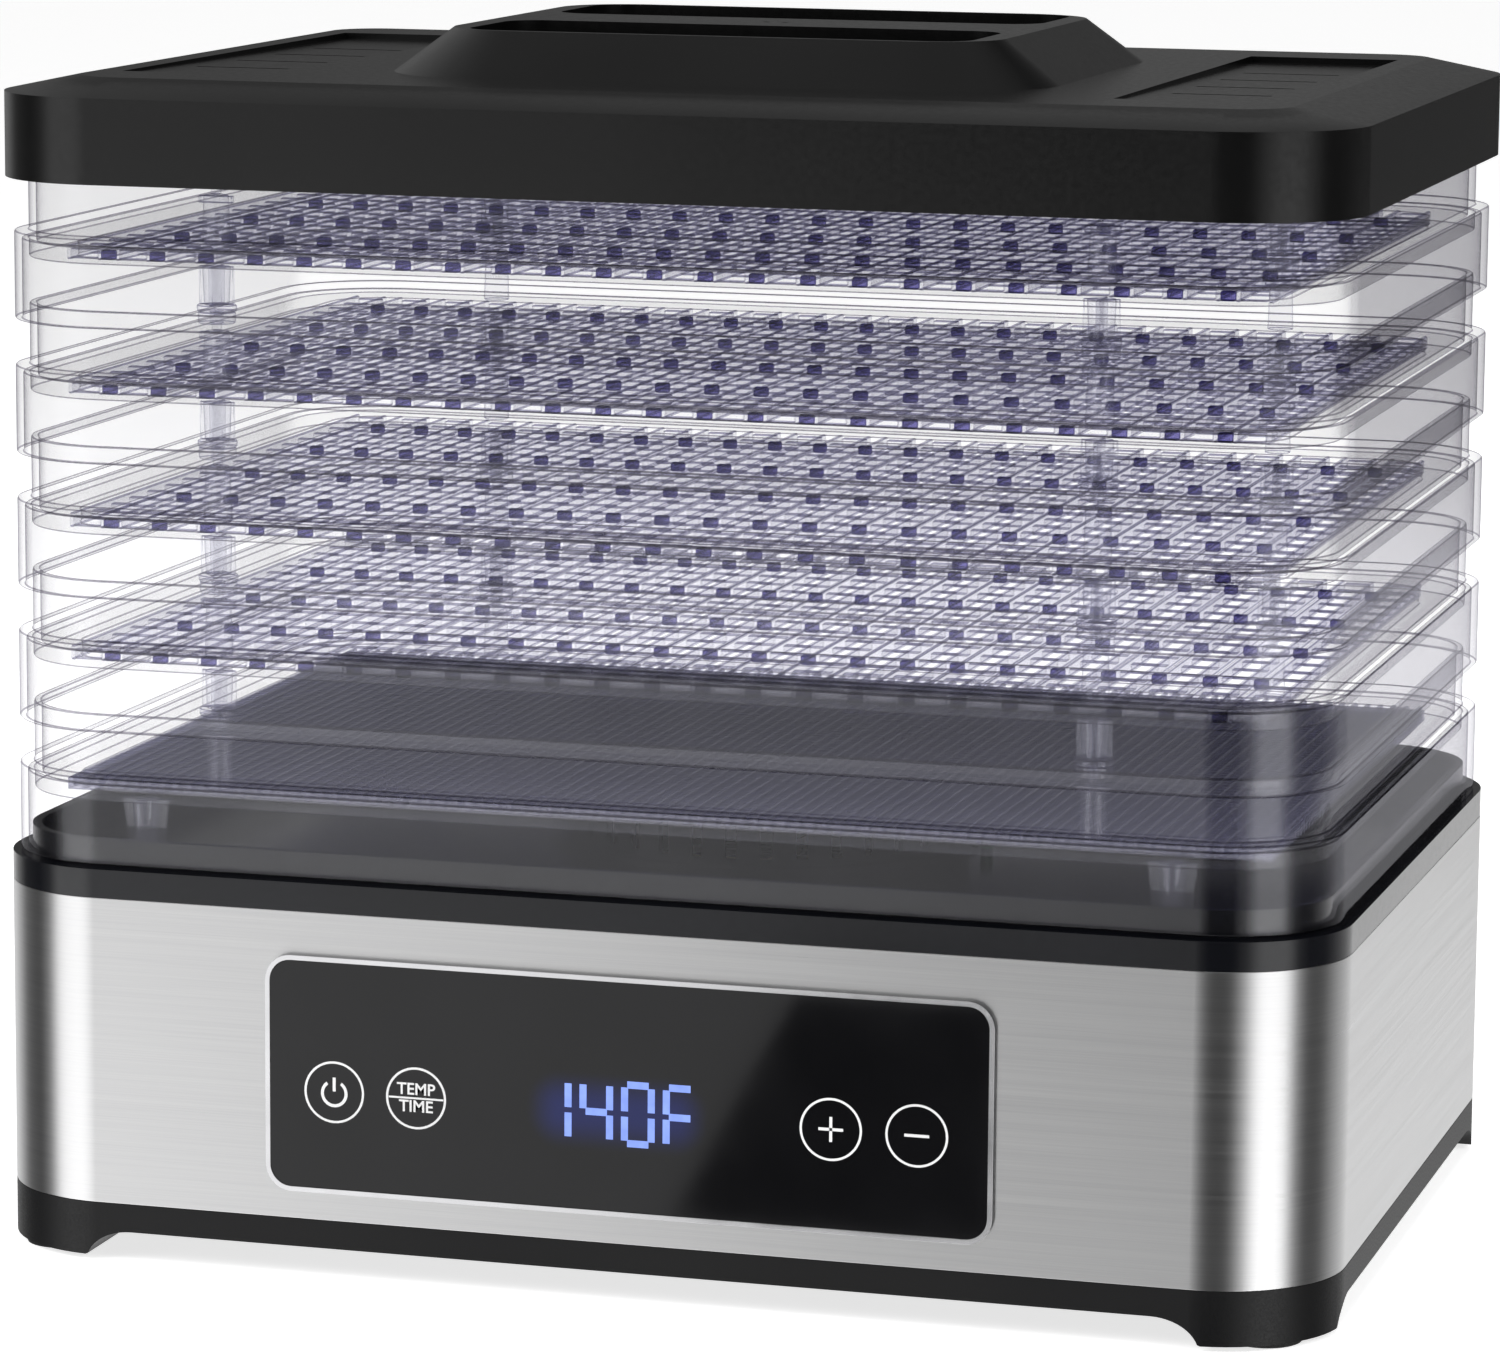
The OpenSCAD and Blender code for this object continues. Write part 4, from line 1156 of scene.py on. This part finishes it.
def surround(scene):
    """Studio surround: soft panels low down and above, with dark gaps that shape the steel's corners."""
    world = bpy.data.worlds.new("studio")
    scene.world = world
    world.use_nodes = True
    tree = world.node_tree
    tree.nodes.clear()
    out = tree.nodes.new("ShaderNodeOutputWorld")
    where = add_node(tree, "ShaderNodeTexCoord")
    parts = add_node(tree, "ShaderNodeSeparateXYZ", Vector=where.outputs["Generated"])
    back = add_node(tree, "ShaderNodeMath", {"operation": "MULTIPLY"}, i0=parts.outputs["Y"], i1=-1.0)
    turn = add_node(
        tree, "ShaderNodeMath", {"operation": "ARCTAN2"}, i0=parts.outputs["X"], i1=back.outputs[0]
    )
    low = by_angle(tree, turn.outputs[0], [
        (-180, 1.0), (-138, 0.9), (-118, 0.5), (-106, 0.13), (-82, 0.06), (-69, 0.35), (-58, 1.9), (-32, 2.1),
        (-23.5, 1.3),
        (-16, 1.0), (-11.5, 0.68), (-6, 0.26), (0, 0.05), (22, 0.05), (34, 0.6), (47, 2.3), (70, 2.3),
        (82, 0.4), (93, 0.08),
        (113, 0.1), (138, 0.6), (165, 0.98), (180, 1.0)])
    high = by_angle(tree, turn.outputs[0], [
        (-180, 0.1), (-168, 0.14), (-158, 0.09), (-145, 0.3), (-125, 0.4), (-108, 0.12), (-82, 0.05),
        (-69, 0.2), (-58, 0.7), (-34, 0.7), (-24, 0.36),
        (-21.5, 0.42), (-19.5, 0.55), (-17, 0.24), (-14.2, 0.08), (-12, 0.03), (22, 0.03), (36, 0.3),
        (60, 0.5), (80, 0.3), (94, 0.05),
        (140, 0.05), (165, 0.03), (180, 0.1)])
    level = add_node(
        tree, "ShaderNodeMapRange", Value=parts.outputs["Z"], From_Min=-0.155, From_Max=-0.125, To_Min=0.0,
        To_Max=1.0
    )
    walls = add_node(
        tree, "ShaderNodeMix", {"data_type": "RGBA"}, i0=level.outputs["Result"], i6=low, i7=high
    )
    zenith = add_node(
        tree, "ShaderNodeMapRange", Value=parts.outputs["Z"], From_Min=0.6, From_Max=0.85, To_Min=0.0,
        To_Max=1.0
    )
    domed = add_node(
        tree, "ShaderNodeMix", {"data_type": "RGBA"}, i0=zenith.outputs["Result"], i6=walls.outputs[2],
        i7=(0.09, 0.09, 0.09, 1)
    )
    # A broad soft panel high in front draws the bright line along every top edge
    ahead = add_node(
        tree, "ShaderNodeMapRange", Value=parts.outputs["Y"], From_Min=-0.3, From_Max=-0.45, To_Min=0.0,
        To_Max=1.0
    )
    raised = add_node(
        tree, "ShaderNodeMapRange", Value=parts.outputs["Z"], From_Min=0.5, From_Max=0.6, To_Min=0.0,
        To_Max=1.0
    )
    panel = add_node(
        tree, "ShaderNodeMath", {"operation": "MULTIPLY"}, i0=ahead.outputs["Result"],
        i1=raised.outputs["Result"]
    )
    whole = add_node(
        tree, "ShaderNodeMix", {"data_type": "RGBA"}, i0=panel.outputs[0], i6=domed.outputs[2],
        i7=(0.38, 0.38, 0.38, 1)
    )
    # Seen directly, the surround is plain white paper
    path = add_node(tree, "ShaderNodeLightPath")
    paper = add_node(
        tree, "ShaderNodeMix", {"data_type": "RGBA"}, i0=path.outputs["Is Camera Ray"], i6=whole.outputs[2],
        i7=(0.6, 0.6, 0.6, 1)
    )
    light = add_node(tree, "ShaderNodeBackground", Color=paper.outputs[2], Strength=2.0)
    tree.links.new(light.outputs[0], out.inputs["Surface"])


class DEHYDRATOR_OT_stage(bpy.types.Operator):
    """Pale floor, soft studio surround, lamps and the camera"""

    bl_idname = "dehydrator.stage"
    bl_label = "Stage"

    def execute(self, context):
        scene = context.scene
        bpy.ops.object.select_all(action="DESELECT")
        bpy.ops.mesh.primitive_plane_add(size=14, location=(0, 0, -0.1 * MM))
        floor = context.object
        floor.name = "studio_floor"
        finish, tree, out = new_finish("studio_floor")
        shader = add_node(
            tree, "ShaderNodeBsdfPrincipled", Base_Color=linear("#e4e4e4"), Roughness=0.8,
            Emission_Color=(1, 1, 1, 1),
            Emission_Strength=0.74)
        tree.links.new(shader.outputs[0], out.inputs["Surface"])
        floor.data.materials.append(finish)

        # Reflections come from the surround alone, so the floor is left out of them
        floor.visible_glossy = False
        surround(scene)
        flag = start_piece("dark_flag")
        mirror_flag()
        close_piece(flag, smooth=False)
        flag.data.materials.append(plain_glow("flag_black", 0.05))
        flag.visible_camera = flag.visible_diffuse = flag.visible_transmission = flag.visible_shadow = False

        for name, place, size, power in (
            ("softbox_left", (-1.3, -1.1, 1.3), 1.2, 22), ("softbox_right", (1.6, -0.6, 1.2), 1.0, 12),
            ("softbox_top", (0.0, 0.4, 1.9), 1.4, 18),
        ):
            lamp = bpy.data.objects.new(name, bpy.data.lights.new(name, "AREA"))
            lamp.data.size = size
            lamp.data.energy = power
            lamp.visible_glossy = False
            lamp.location = place
            lamp.rotation_euler = (Vector((0, 0, 0.15)) - Vector(place)).to_track_quat("-Z", "Y").to_euler()
            scene.collection.objects.link(lamp)

        azimuth, elevation, roll = math.radians(15.96), math.radians(9.47), math.radians(0.44)
        back = Vector(
            (
                math.sin(azimuth) * math.cos(elevation), -math.cos(azimuth) * math.cos(elevation),
                math.sin(elevation)
            )
        )
        right = Vector((math.cos(azimuth), math.sin(azimuth), 0))
        up = back.cross(right)
        side = right * math.cos(roll) + up * math.sin(roll)
        rise = up * math.cos(roll) - right * math.sin(roll)
        camera = bpy.data.objects.new("camera", bpy.data.cameras.new("camera"))
        camera.data.sensor_width = 36
        camera.data.lens = 149.3
        camera.data.clip_end = 50
        camera.matrix_world = Matrix((
            (side.x, rise.x, back.x, 0.42115), (side.y, rise.y, back.y, -1.49141),
            (side.z, rise.z, back.z, 0.39053), (0, 0, 0, 1)))
        scene.collection.objects.link(camera)
        scene.camera = camera
        # The stack of clear walls is many layers deep, so rays must be let through all of them
        scene.cycles.transparent_max_bounces = 48
        scene.view_settings.view_transform = "Standard"
        return {"FINISHED"}


class DEHYDRATOR_PT_panel(bpy.types.Panel):
    """Lists the pieces and their settings"""

    bl_idname = "DEHYDRATOR_PT_panel"
    bl_label = "Food dehydrator"
    bl_space_type = "VIEW_3D"
    bl_region_type = "UI"
    bl_category = "Dehydrator"

    def draw(self, context):
        for group in (context.scene.dehydrator_sizes, context.scene.dehydrator_colours):
            box = self.layout.box()
            for key in group.bl_rna.properties.keys():
                if key not in ("rna_type", "name"):
                    box.prop(group, key)
        for step in STEPS:
            self.layout.operator(step.bl_idname)


STEPS = [
    DEHYDRATOR_OT_finishes, DEHYDRATOR_OT_base, DEHYDRATOR_OT_lid, DEHYDRATOR_OT_trays, DEHYDRATOR_OT_panel,
    DEHYDRATOR_OT_stage
]
CLASSES = [DehydratorSizes, DehydratorColours, *STEPS, DEHYDRATOR_PT_panel]


def register():
    for each in CLASSES:
        bpy.utils.register_class(each)
    bpy.types.Scene.dehydrator_sizes = PointerProperty(type=DehydratorSizes)
    bpy.types.Scene.dehydrator_colours = PointerProperty(type=DehydratorColours)


def unregister():
    del bpy.types.Scene.dehydrator_colours
    del bpy.types.Scene.dehydrator_sizes
    for each in reversed(CLASSES):
        bpy.utils.unregister_class(each)


def main():
    register()
    bpy.ops.dehydrator.finishes()
    bpy.ops.dehydrator.base()
    bpy.ops.dehydrator.lid()
    bpy.ops.dehydrator.trays()
    bpy.ops.dehydrator.panel()
    bpy.ops.dehydrator.stage()


if __name__ == "__main__":
    main()
